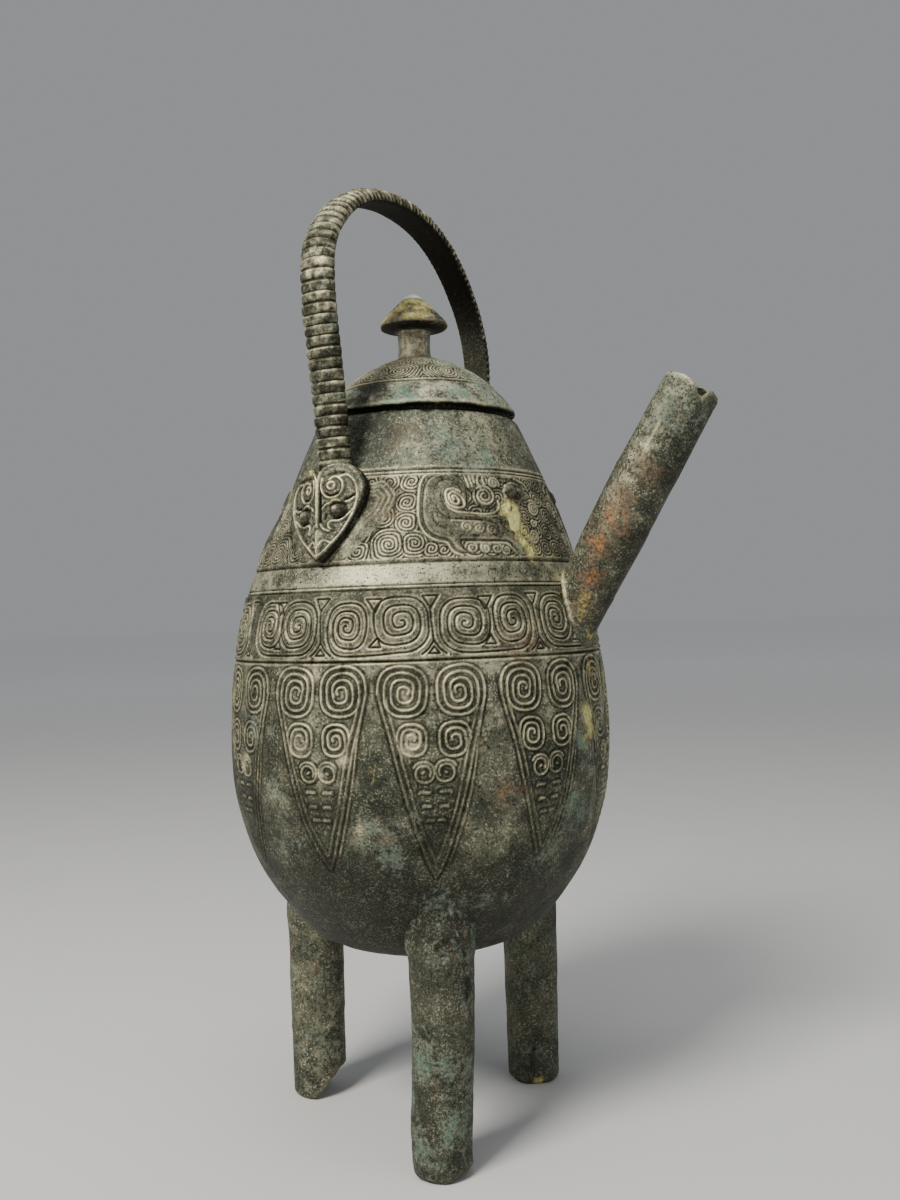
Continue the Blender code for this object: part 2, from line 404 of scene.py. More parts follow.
BIG_VOLUTE = (9.96, 9.0, 8.7, 9.1, 7.2, 6.3, 6.0, 5.8, 4.15, 3.85, 3.6, 2.75, 1.65, 1.25, 0.5)
BLADE_1 = (8.75, 8.7, 6.8, 7.1, 6.6, 6.6, 4.6, 5.1, 4.4, 4.4, 2.4, 2.8, 2.3, 2.2, 0.8)
BLADE_2 = (5.2, 5.4, 4.6, 5.0, 3.8, 3.6, 2.6, 2.8, 2.0, 1.6, 0.6)
BLADE_3 = (3.6, 3.5, 3.3, 2.9, 2.5, 2.3, 2.2)

# The spirals that show best differ a little: angle, half width, drop
SPECIAL = {
    -78: (-77.8, 6.9, 1.3),
    -62: (-62.0, 9.05, 0.0),
    -44: (-43.75, 8.7, 0.8),
    -29: (-28.9, 7.3, 0.2),
    -94: (-94.3, 8.0, 0.5),
    -107: (-107.05, 7.2, 0.3),
}

DRAGON_BODY = [
    (-13.1, 3.9), (-15.4, 5.5), (-16.9, 8.1), (-17.8, 11.8), (-18.5, 16.4), (-18.7, 20.1), (-18.1, 23.3),
    (-16.5, 25.8), (-13.9, 27.4), (-10.7, 28.2), (-9.8, 29.7), (-8.6, 31.7), (-6.5, 32.8), (-5.3, 33.0),
    (-5.9, 31.8), (-6.7, 30.2), (-6.3, 28.2), (2.0, 28.4), (10.8, 28.7), (13.6, 30.3), (16.3, 33.6), (20.4, 30.2),
    (17.6, 27.5), (17.8, 23.7), (19.4, 18.5), (19.3, 13.7), (24.0, 11.0), (23.1, 8.6), (20.5, 6.4), (16.9, 5.6),
    (13.1, 6.8), (11.8, 9.8), (12.6, 13.1), (12.7, 14.5), (11.5, 17.4), (9.6, 18.8), (6.0, 19.1), (-2.2, 19.0),
    (-6.4, 18.3), (-9.5, 16.4), (-11.1, 12.9), (-10.6, 10.1), (-8.9, 8.9), (-6.4, 9.2), (-4.4, 12.0), (-3.7, 14.1),
    (-2.8, 13.9), (-2.6, 10.6), (-3.0, 7.3), (-4.3, 4.9), (-6.3, 3.7), (-9.6, 3.1),
]  # fmt: skip
DRAGON_GROOVES = [
    [(-6.4, 3.6), (-9.6, 3.1), (-13.1, 3.9), (-15.4, 5.5), (-16.9, 8.1), (-17.8, 11.8), (-18.5, 16.4), (-18.7, 20.1),
     (-18.1, 23.3), (-16.5, 25.8), (-13.9, 27.4), (-10.7, 28.2), (-9.8, 29.7), (-8.6, 31.7), (-6.5, 32.8), (-5.2, 33.1)],
    [(-5.9, 31.8), (-6.7, 30.2), (-6.3, 28.4), (-1.8, 28.4), (5.0, 28.5), (10.8, 28.7), (13.0, 30.3), (15.0, 32.3), (16.3, 33.6)],
    [(-13.9, 15.9), (-13.1, 17.9), (-11.4, 20.0), (-9.4, 20.7), (-4.4, 21.0), (1.8, 21.2), (5.2, 21.9), (7.4, 23.7),
     (7.7, 25.8), (6.5, 26.9), (4.9, 26.5)],
    [(-15.2, 18.4), (-14.9, 21.1), (-13.6, 23.2), (-11.3, 24.6)],
    [(-12.9, 8.0), (-11.4, 6.3), (-9.2, 5.9), (-6.8, 6.4), (-5.0, 8.5), (-4.3, 10.6)],
    [(-2.8, 14.2), (-2.6, 10.6), (-3.0, 7.3), (-4.3, 4.9), (-6.3, 3.7)],
    [(1.0, 9.6), (0.6, 12.9), (1.6, 15.5), (4.1, 16.8), (6.9, 16.3), (8.5, 14.6)],
    [(13.1, 6.8), (16.9, 5.4), (21.0, 6.8), (22.9, 9.1)],
    [(13.1, 12.6), (15.2, 13.6), (18.3, 12.6)],
    [(11.9, 17.6), (12.2, 21.0), (12.8, 24.4), (14.6, 27.4), (17.5, 29.0)],
]  # fmt: skip
DRAGON_THREADS = [
    [(-14.0, 2.6), (-16.7, 4.6), (-18.3, 7.6), (-19.2, 11.8), (-19.9, 16.4), (-20.1, 20.4), (-19.5, 24.0), (-17.6, 26.9),
     (-14.6, 28.7), (-11.6, 29.4), (-10.8, 30.9), (-9.4, 32.9), (-6.8, 34.0)],
    [(-7.4, 13.2), (-7.8, 12.0), (-6.5, 12.0), (-5.6, 13.9), (-6.7, 15.0), (-8.2, 14.3), (-9.0, 12.4), (-8.4, 10.8),
     (-6.7, 10.4), (-4.5, 12.5), (-3.8, 14.8), (-4.5, 16.2), (-6.5, 16.4), (-8.9, 15.5), (-10.0, 13.4), (-10.0, 11.0),
     (-9.0, 9.4), (-6.9, 9.2), (-4.9, 10.4)],
    [(-10.6, 14.8), (-8.9, 16.9), (-6.3, 18.0), (-2.1, 18.5), (2.3, 18.9), (6.2, 18.5), (8.7, 17.1), (9.5, 15.1), (9.3, 13.6)],
    [(-9.2, 21.6), (-4.4, 21.9), (1.5, 22.1), (4.8, 22.7)],
    [(-4.6, 29.4), (3.0, 29.6), (10.2, 29.8), (12.4, 31.4), (14.3, 33.3)],
    [(2.9, 3.6), (2.2, 6.4), (3.2, 8.6)],
    [(4.6, 3.5), (4.4, 6.0), (5.0, 8.4)],
    [(-2.4, 3.6), (-1.4, 8.8)],
    [(-0.9, 3.4), (0.0, 8.6)],
    [(0.8, 3.4), (1.0, 6.6)],
    [(12.2, 4.0), (17.4, 3.9)],
    [(18.6, 4.4), (23.4, 6.2), (25.2, 8.8)],
]  # fmt: skip
DRAGON_SPIRALS = [
    (-4.2, 24.0, 1.9, -1), (0.1, 24.4, 1.9, 1), (5.0, 25.0, 1.9, -1),
    (-3.1, 31.3, 2.0, 1), (1.9, 31.5, 1.9, -1), (6.2, 31.6, 1.8, 1), (10.0, 32.2, 1.6, -1),
    (26.1, 15.8, 3.0, 1), (24.0, 26.8, 2.6, -1), (24.8, 21.6, 1.5, 1), (4.2, 11.8, 4.1, 1), (8.6, 6.6, 2.1, -1),
]  # fmt: skip
DRAGON_EYE = (15.6, 9.9, 2.4)


def bead_spiral(x, y, size, hand, pitch=1.15):
    turns = size / pitch
    a = np.linspace(0, turns * math.tau, int(18 * turns) + 4)
    r = 0.25 + pitch * a / math.tau
    return np.stack([x + hand * r * np.sin(a), y + r * np.cos(a)], -1)


def dragon_frames():
    """The four dragons: (angle, mirrored). Each faces the spout or the point opposite it."""
    return [(DRAGON_AT, False), (-DRAGON_AT, True), (-180.0 - DRAGON_AT, True), (180.0 + DRAGON_AT, False)]


# The smooth root behind each mask: degrees from the mask's middle, and height
PAD = [(15.6, 234.7), (19.3, 235.2), (25.2, 230.0), (24.6, 225.4), (22.3, 220.6), (19.0, 217.0), (14.8, 213.1), (9.0, 207.0)]


def pads(th, s, radius):
    """How far inside the roots behind the two masks each point lies, and how far from their outline, in mm."""
    half = [(math.radians(a) * float(r_of(s_of_z(z))), float(s_of_z(z))) for a, z in PAD]
    outline = through([*half, *[(-x, y) for x, y in reversed(half)], half[0]], 5)
    edge = Lines(th, s, radius)
    within = np.zeros((len(s), len(th)), bool)
    wide = np.concatenate([th - math.tau, th, th + math.tau])
    for middle in (-90.0, 90.0):
        edge.draw(outline, middle, 0.0, 9.0)
        a0 = math.radians(middle)
        i0, i1 = np.searchsorted(wide, (a0 - 0.6, a0 + 0.6))
        cols = np.arange(i0, i1) % len(th)
        x = (wide[i0:i1] - a0)[None, :] * radius[:, None]
        within[:, cols] |= inside(outline, x, np.broadcast_to(s[:, None], x.shape))
    return np.where(within, edge.d, 0.0), edge.d


def dragon_band(th, s, radius):
    """Plain dragon bodies on a ground of fine raised spirals."""
    groove, thread, outline = Lines(th, s, radius), Lines(th, s, radius), Lines(th, s, radius)
    body = np.zeros((len(s), len(th)), bool)
    boss = np.zeros((len(s), len(th)), np.float32)
    wide = np.concatenate([th - math.tau, th, th + math.tau])
    for n, (angle, flip) in enumerate(dragon_frames()):
        for k, line in enumerate(DRAGON_GROOVES):
            groove.draw(wobbled(through(line, 5), n + k, 0.10), angle, DRAGON_S, 1.8, flip)
        for k, line in enumerate(DRAGON_THREADS):
            thread.draw(wobbled(through(line, 5), n + k, 0.10), angle, DRAGON_S, 1.8, flip)
        for x, y, size, hand in DRAGON_SPIRALS:
            thread.draw(bead_spiral(x, y, size, hand, 1.15 if size < 4 else 1.42), angle, DRAGON_S, 1.4, flip)
        outline.draw([*DRAGON_BODY, DRAGON_BODY[0]], angle, DRAGON_S, 2.4, flip)
        a0 = math.radians(angle)
        i0, i1 = np.searchsorted(wide, (a0 - 0.62, a0 + 0.62))
        cols = np.arange(i0, i1) % len(th)
        x = (wide[i0:i1] - a0)[None, :] * radius[:, None] * (-1 if flip else 1)
        y = np.broadcast_to((s - DRAGON_S)[:, None], x.shape)
        body[:, cols] |= inside(DRAGON_BODY, x, y)
        ex, ey, er = DRAGON_EYE
        d = np.hypot(x - ex, y - ey) / er
        boss[:, cols] = np.maximum(boss[:, cols], np.sqrt(np.clip(1 - d**2, 0, 1)))
        groove.draw([(ex + 1.12 * er * math.cos(t), ey + 1.12 * er * math.sin(t)) for t in np.linspace(-0.6, 3.0, 14)], angle, DRAGON_S, 1.6, flip)
    # Ground spirals: the rows that show best, then a loose lattice over the rest.
    centres = []
    for n, (angle, flip) in enumerate(dragon_frames()):
        sign = -1 if flip else 1
        for x, y, size in ((-20.9, 6.1, 3.2), (-23.3, 14.0, 3.0), (-24.4, 21.7, 3.2), (-31.2, 29.5, 4.4), (-22.5, 29.2, 3.6), (-17.1, 31.4, 2.3), (-12.9, 31.9, 1.8)):
            rr = np.interp(DRAGON_S + y, s, radius)
            centres.append((angle + sign * math.degrees(x / rr), DRAGON_S + y, size, sign))
    rng = np.random.default_rng(5)
    for row, y in enumerate((28.6, 35.2, 41.6, 47.8, 53.9)):
        rr = float(np.interp(y, s, radius))
        count = int(math.tau * rr / 6.6)
        for k in range(count):
            angle = 360.0 * (k + 0.5 * (row % 2) + 0.12 * rng.uniform(-1, 1)) / count
            angle = (angle + 180.0) % 360.0 - 180.0
            near = [c for c in centres[:28] if abs((c[0] - angle + 180) % 360 - 180) * rr * math.pi / 180 < 3.6 + 0.5 * c[2] and abs(c[1] - y) < 3.2 + 0.5 * c[2]]
            if not near:
                centres.append((angle, y + 0.4 * rng.uniform(-1, 1), 3.2 * rng.uniform(0.9, 1.1), 1 if (k + row) % 2 else -1))
    line, border = scrolls(th, s, radius, centres, 1.22, BAND_TOP + 2.0, BAND_FOOT - 1.0)
    zone = steps(BAND_TOP + 2.2, BAND_TOP + 3.0, s)[:, None] * steps(BAND_FOOT - 0.6, BAND_FOOT - 1.6, s)[:, None]
    own = np.minimum(thread.d, groove.d + 0.2)
    ground = zone * np.where(body, 0.0, 1.0) * steps(0.5, 1.1, own)
    t = np.exp(-((thread.d / 0.34) ** 2)) * zone
    g = np.exp(-((groove.d / 0.36) ** 2)) * zone
    trough = np.exp(-(((thread.d - 0.72) / 0.34) ** 2)) * zone * (1 - g)
    proud = np.where(body, steps(0.0, 1.3, outline.d), 0.0) * zone
    h = 0.24 * ground * (line - 0.45) - 0.10 * ground * border + 0.26 * t - 0.26 * g - 0.14 * trough
    h = h + 0.62 * proud + 0.75 * boss
    cav = np.clip(ground * (0.95 * (1 - line) ** 1.2 + 0.35 * border) + 0.95 * g + 0.7 * trough, 0, 1)
    edge = np.clip(0.80 * ground * line**3 + 0.95 * t + 0.35 * boss, 0, 1) * (1 - g)
    lit = np.exp(-(((outline.d - 0.50) / 0.26) ** 2)) * np.where(body, 0.60, 0.0) * zone
    cav, edge = np.where(body, np.maximum(cav, 0.52 * steps(0.3, 1.2, outline.d)), cav), np.maximum(edge, lit * (1 - g))
    # the smooth roots of the strap lie over it all; they are darkened, most in their upper part, as painted shade under
    # the masks
    deep, far = pads(th, s, radius)
    cover = steps(0.0, 1.4, deep)
    upper = steps(float(s_of_z(217.0)), float(s_of_z(226.0)), s)[:, None]
    stripe = 0.5 + 0.5 * np.cos(math.tau * (deep + 0.3 * np.sin(th * 9)[None, :]) / 1.7)
    stripe = stripe * upper * steps(0.8, 1.8, deep) * steps(8.0, 5.5, deep)
    h = h * (1 - cover) + 1.5 * steps(-0.5, 6.5, deep) * (deep > 0) + 0.20 * stripe
    cav = cav * (1 - cover) + cover * (0.26 + 0.34 * upper * (1 - stripe)) + 0.35 * np.exp(-(((far - 0.2) / 0.6) ** 2))
    edge = edge * (1 - cover) + cover * (0.10 + 0.55 * stripe)
    return h, np.clip(cav, 0, 1), np.clip(edge, 0, 1)


def spiral_band(th, s, radius):
    """Linked pairs of engraved volutes between double lines, and the wedges that fill the corners."""
    groove = Lines(th, s, radius)
    rng = np.random.default_rng(8)
    mid = 79.4
    for k in range(11):
        pair = -69.86 + PERIOD * k
        pair = (pair + 180.0) % 360.0 - 180.0
        ends = []
        for side in (-1, 1):
            angle, half, drop = pair + side * 7.7, 8.1 + 0.5 * rng.uniform(-1, 1), 0.4 + 0.5 * rng.uniform(-1, 1)
            for key, value in SPECIAL.items():
                if abs((key - angle + 180) % 360 - 180) < 4.5:
                    angle, half, drop = value
            path = quarter_spiral(BIG_VOLUTE, 0.0, half / 9.05, 1.0 - 0.03 * drop)
            path = wobbled(path, k * 2 + side, 0.20, 5.0)
            groove.draw(path, angle, mid + drop, 2.6, side < 0)
            x = math.radians(angle - pair) * 66.6 + side * path[0, 0]
            ends.append((x, drop + path[0, 1]))
        (x0, y0), (x1, y1) = ends
        link = [(x0, y0), (x0 * 0.5, 0.25 * (3 * y0 + y1) + 0.15), (x1 * 0.5, 0.25 * (y0 + 3 * y1) + 0.15), (x1, y1)]
        groove.draw(wobbled(through(link, 8), k, 0.12), pair, mid)
        lean = 0.7 * rng.uniform(-1, 1)
        groove.draw([(-2.5, -8.1), (2.6, -8.1), (lean, -3.6), (-2.5, -8.1)], pair, mid)
        groove.draw([(lean + 1.0, 4.9), (-1.4, 7.9), (2.4, 8.0), (lean + 1.0, 4.9)], pair, mid)
        edge = pair + PERIOD / 2
        shift = 0.5 * rng.uniform(-1, 1)
        groove.draw([(-2.5, -8.8), (2.6, -8.8), (shift, -4.5), (-2.5, -8.8)], edge, mid)
        groove.draw(wobbled([(shift, -4.5), (shift + 0.1, -1.0), (0.2, 3.0), (0.5, 6.2)], k, 0.1), edge, mid)
        groove.draw(through([(0.5, 6.2), (-1.2, 8.8), (-3.4, 10.6)], 6), edge, mid)
        groove.draw(through([(0.5, 6.2), (2.4, 8.8), (4.6, 10.6)], 6), edge, mid)
        groove.draw([(0.6, 8.2), (-1.2, 10.4), (2.3, 10.4), (0.6, 8.2)], edge, mid)
    d = groove.d
    zone = steps(SPIRAL_TOP - 0.2, SPIRAL_TOP + 0.5, s)[:, None] * steps(SPIRAL_FOOT + 0.2, SPIRAL_FOOT - 0.5, s)[:, None]
    g = np.exp(-((d / 0.35) ** 2)) * zone
    crown = (1 - np.exp(-((d / 0.72) ** 2))) * zone
    base = np.stack([radius[:, None] * np.cos(th), radius[:, None] * np.sin(th), s[:, None] + 0 * th], -1)
    # how bright the lines beside the grooves are: uneven wear, with a painted highlight on the volute near -77 degrees;
    # the thin bright line along each side of a groove is worn metal and painted highlight together
    wear_and_light = 0.76 + 0.60 * SWELL.sum(base + 620, 7.0, 3) + 0.45 * np.exp(-(((np.degrees(th) + 77.0) / 6.0) ** 2))[None, :]
    line = np.exp(-(((d - 0.62) / 0.20) ** 2)) * zone * np.clip(wear_and_light, 0.25, 1.4)
    h = -0.46 * g + 0.36 * crown
    back = steps(0.78, 1.10, d) * zone
    cav = np.clip(1.1 * g + 0.47 * back, 0, 1)
    edge = np.clip(1.15 * line, 0, 1)
    return h, cav, edge


def blade_half():
    """Right half of a hanging blade, in mm from its axis and down from its top."""
    outer = [(17.5, 9.5), (17.0, 12.5), (15.7, 17.8), (13.5, 26.0), (11.8, 33.6), (9.9, 41.6), (7.2, 51.5), (4.7, 60.0), (2.6, 66.4), (0.2, 72.4)]
    inner = [(15.2, 11.0), (14.7, 14.4), (13.5, 19.0), (11.4, 26.8), (9.7, 34.2), (7.9, 41.8), (5.3, 51.0), (2.9, 58.6), (1.2, 63.6), (0.1, 66.6)]
    rim = [(x + 1.0, y) for x, y in outer[:-1]] + [(0.5, 73.8)]
    threads = [through(outer, 8), through(inner, 8)]
    threads.append(quarter_spiral(BLADE_1, 90.0) + (8.75, 9.6))
    threads.append(quarter_spiral(BLADE_2, 90.0) + (6.8, 24.6))
    threads.append(quarter_spiral(BLADE_3, 120.0, square=2.2) + (3.75, 35.0))
    threads.append(np.array([(3.5, 34.9), (4.0, 35.2)]))
    for a, b, y in ((1.7, 5.1, 41.2), (1.5, 4.0, 45.9), (0.7, 2.9, 50.6)):
        threads.append(np.array([(a, y + 0.1), (b, y - 0.1), (b + 0.1, y + 0.6)]))
        threads.append(np.array([(a, y + 0.38), (b, y + 0.2)]))
    threads.append(through([(x + w, y) for (x, y), w in zip(outer[2:9], (0.2, 0.9, 1.6, 1.9, 1.9, 1.9, 1.8))], 8))
    grooves = [through([(18.6, 4.0), (18.6, 8.0), *rim], 8)]
    return threads, grooves


def raised(line, lift):
    """Shortens a blade's point without moving what is above it."""
    y = line[:, 1]
    return np.stack([line[:, 0], y - lift * np.clip((y - 50.0) / 24.0, 0, 1)], -1)


# Where the relief is rubbed to a bright lump, with a painted highlight on it: angle, place on the profile, size,
# strength
POLISH_AND_GLINT = [
    (-59.2, 117.1, 2.9, 1.0),
    (-61.5, 121.5, 1.6, 0.6),
    (-56.5, 125.5, 2.0, 0.6),
    (-92.1, 119.1, 2.7, 0.8),
    (-78.4, 123.9, 1.8, 0.7),
    (-117.1, 126.6, 3.0, 0.9),
    (-87.2, 95.5, 2.2, 0.5),
    (-60.2, 104.5, 2.0, 0.5),
    (-85.0, 129.5, 2.0, 0.4),
]


def polish_and_glint(th, s, radius):
    out = np.zeros((len(s), len(th)))
    for angle, at, size, much in POLISH_AND_GLINT:
        x = np.radians((np.degrees(th) - angle + 180.0) % 360.0 - 180.0)[None, :] * radius[:, None]
        size = 1.2 * size
        out = out + much * np.exp(-((x / size) ** 2) - (((s - at) / size) ** 2)[:, None])
    return np.clip(out, 0, 1)


def blades(th, s, radius):
    thread, bound, groove = Lines(th, s, radius), Lines(th, s, radius), Lines(th, s, radius)
    threads, grooves = blade_half()
    rng = np.random.default_rng(21)
    for k in range(11):
        angle = ((-54.1 if k == 0 else -53.5) + PERIOD * k + 180.0) % 360.0 - 180.0
        long = 1.0 + 0.012 * rng.uniform(-1, 1) if k else 1.0
        lift = {0: 1.5, 1: 4.2, 10: 4.8}.get(k, 3.0 + 1.5 * math.sin(2.1 * k))  # how much higher than the pattern it ends
        for side in (-1, 1):
            for n, line in enumerate(threads if side > 0 else threads[:-1]):
                p = raised(line * (1.0, long), lift)
                if 2 <= n <= 4:
                    p = (p - p.mean(0)) * (1 + 0.05 * rng.uniform(-1, 1)) + p.mean(0) + 0.25 * rng.uniform(-1, 1, 2)
                (bound if n < 2 or n == len(threads) - 1 else thread).draw(wobbled(p, k * 7 + n + side, 0.16, 6.0), angle, BLADE_TOP, 2.2, side < 0)
            for line in grooves:
                groove.draw(wobbled(raised(line * (1.0, long), lift), k + side, 0.16, 6.0), angle, BLADE_TOP, 2.2, side < 0)
    base = np.stack([radius[:, None] * np.cos(th), radius[:, None] * np.sin(th), s[:, None] + 0 * th], -1)
    wear_and_light = np.interp(s, (93, 118, 136, 150, 168), (1.30, 1.15, 0.84, 0.52, 0.42))[:, None] + 0.50 * SWELL.sum(base + 620, 8.0, 3)
    d = np.minimum(thread.d, bound.d)
    own = steps(-0.2, 0.2, bound.d - thread.d)  # 1 on a volute, 0 on an outline
    faint = np.interp(s, (93, 106, 122, 150, 168), (0.95, 0.72, 0.56, 0.46, 0.36))[:, None] * (1 + 1.1 * GRAIN.sum(base + 33, 2.4, 2))
    faint = own + (1 - own) * np.clip(faint, 0.10, 1.1)
    t = np.exp(-((d / (0.25 + 0.03 * own)) ** 2))
    g = np.exp(-((groove.d / 0.34) ** 2))
    trough = np.exp(-(((d - 0.80) / 0.45) ** 2)) * (1 - g)
    lump = polish_and_glint(th, s, radius) * steps(-0.5, 0.45, GRAIN.sum(base + 15, 1.8, 3))
    h = (0.28 + 0.14 * own) * t * (0.6 + 0.4 * faint) - 0.24 * g - 0.18 * trough + 0.22 * lump
    cav = np.clip(0.85 * g + 0.85 * trough * (0.55 + 0.45 * faint), 0, 1) * (1 - t) * (1 - 0.85 * lump)
    return h, cav, np.clip(t * np.clip(wear_and_light, 0.2, 1.25) * faint + 1.1 * lump, 0, 1)


# Bands of line that run right round: (s, half width, depth); a negative depth is a raised line
ROUND = [
    (BAND_TOP - 0.85, 0.28, -0.14),
    (BAND_TOP, 0.32, 0.40),
    (BAND_TOP + 0.80, 0.26, -0.18),
    (BAND_TOP + 1.45, 0.22, 0.18),
    (BAND_TOP + 2.05, 0.26, -0.16),
    (BAND_FOOT - 1.3, 0.30, -0.18),
    (BAND_FOOT, 0.46, 0.46),
    (66.6, 0.34, 0.26),
    (67.25, 0.30, -0.22),
    (SPIRAL_TOP, 0.42, 0.42),
    (91.2, 0.30, -0.20),
    (SPIRAL_FOOT, 0.42, 0.42),
    (92.85, 0.34, -0.34),
]


def rings_round(th, s):
    """The plain lines that run round the belly, a little uneven."""
    x = np.stack([22 * np.cos(th), 22 * np.sin(th), 0 * th], -1)
    sway = 0.22 * GRAIN.at(x, 9.0)
    h, cav, edge = 0.0, 0.0, 0.0
    for k, (at, half, depth) in enumerate(ROUND):
        size = 1.0 + 0.35 * GRAIN.at(x + 13.0 * k, 5.0)
        g = np.exp(-(((s[:, None] - at - sway[None, :]) / half) ** 2)) * size[None, :]
        h = h - depth * g
        if depth > 0:
            cav = np.maximum(cav, np.clip(g, 0, 1))
        else:
            edge = np.maximum(edge, np.clip(g, 0, 1))
    return h, cav, edge


# ---- wear, patina and corrosion ---------------------------------------------

# Where patches of corrosion sit on the belly: kind, angle, height, radius, strength
PATCHES = [
    ("green", -60.0, 104.0, 16.0, 0.36),
    ("green", -72.0, 118.0, 12.0, 0.62),
    ("green", -100.0, 112.0, 14.0, 0.55),
    ("green", -35.0, 92.0, 9.0, 0.45),
    ("green", -53.0, 92.0, 8.0, 0.45),
    ("green", -18.0, 104.0, 10.0, 0.50),
    ("green", -8.5, 119.0, 9.0, 0.50),
    ("green", -72.3, 120.6, 4.0, 0.50),
    ("green", -10.0, 120.0, 15.0, 0.50),
    ("green", -48.0, 248.0, 11.0, 0.58),
    ("green", -30.0, 240.0, 9.0, 0.56),
    ("green", -66.0, 242.5, 7.0, 0.45),
    ("green", 5.0, 150.0, 12.0, 0.45),
    ("green", -84.0, 142.0, 7.0, 0.45),
    ("green", -112.0, 148.0, 8.0, 0.40),
    ("green", 80.0, 115.0, 22.0, 0.50),
    ("green", 150.0, 100.0, 24.0, 0.55),
    ("red", -30.8, 177.2, 4.5, 0.62),
    ("red", -23.4, 175.8, 4.0, 0.50),
    ("red", -28.7, 171.5, 4.5, 0.50),
    ("red", -41.5, 145.5, 4.0, 0.60),
    ("red", -34.9, 130.0, 5.0, 0.78),
    ("red", -29.0, 128.0, 4.0, 0.45),
    ("red", -68.0, 117.0, 4.0, 0.40),
    ("red", -66.0, 225.0, 9.0, 0.30),
    ("red", -104.0, 226.0, 10.0, 0.32),
    ("red", -64.0, 251.0, 10.0, 0.42),
    ("red", -22.0, 181.0, 6.0, 0.45),
    ("red", 120.0, 170.0, 12.0, 0.45),
    ("red", 60.0, 205.0, 9.0, 0.40),
    ("pale", -21.6, 223.6, 4.2, 1.25),
    ("pale", -20.8, 218.2, 4.4, 1.45),
    ("pale", -17.8, 213.0, 4.6, 1.50),
    ("pale", -16.0, 208.6, 3.2, 1.15),
    ("green", -19.5, 210.5, 4.0, 0.95),
    ("pale", -2.4, 152.0, 4.4, 1.45),
    ("pale", -1.4, 146.5, 3.6, 1.40),
    ("pale", -5.2, 143.6, 2.6, 0.80),
    ("green", -6.4, 142.6, 4.5, 1.00),
    ("pale", 2.5, 168.0, 3.6, 0.90),
    ("green", -101.0, 131.0, 7.0, 0.50),
    ("pale", -71.5, 136.5, 3.5, 0.42),
]


def patina(p, cav, edge, extra=()):
    """What lies on the bronze at each point: green, red and pale corrosion."""
    marks = {"green": 0.0, "red": 0.0, "pale": 0.0}
    for kind, angle, z, size, strength in [*PATCHES, *extra]:
        a = math.radians(angle)
        r = float(np.interp(s_of_z(z), along, profile[:, 0]))
        d2 = (p[..., 0] - r * math.cos(a)) ** 2 + (p[..., 1] - r * math.sin(a)) ** 2 + (p[..., 2] - z) ** 2
        marks[kind] = marks[kind] + strength * np.exp(-d2 / (0.7 * size**2))
    rough = PATCH.sum(p, 9.0, 3)
    marks["green"] = np.clip(marks["green"] * (0.75 + 0.9 * rough) + 0.24 * steps(0.35, 0.9, PATCH.sum(p + 200, 17.0, 3)) + 0.18 * cav * steps(0.0, 0.7, PATCH.sum(p + 60, 12.0, 2)) + 0.24 * steps(234.0, 244.0, p[..., 2]), 0, 1)
    marks["red"] = np.clip(marks["red"] * (0.8 + 0.9 * PATCH.sum(p + 300, 6.0, 3)) + 0.12 * steps(0.45, 0.95, PATCH.sum(p + 400, 9.0, 3)), 0, 1)
    marks["pale"] = np.clip(marks["pale"] * (0.9 + 0.8 * PATCH.sum(p + 500, 4.0, 3)), 0, 1)
    return marks


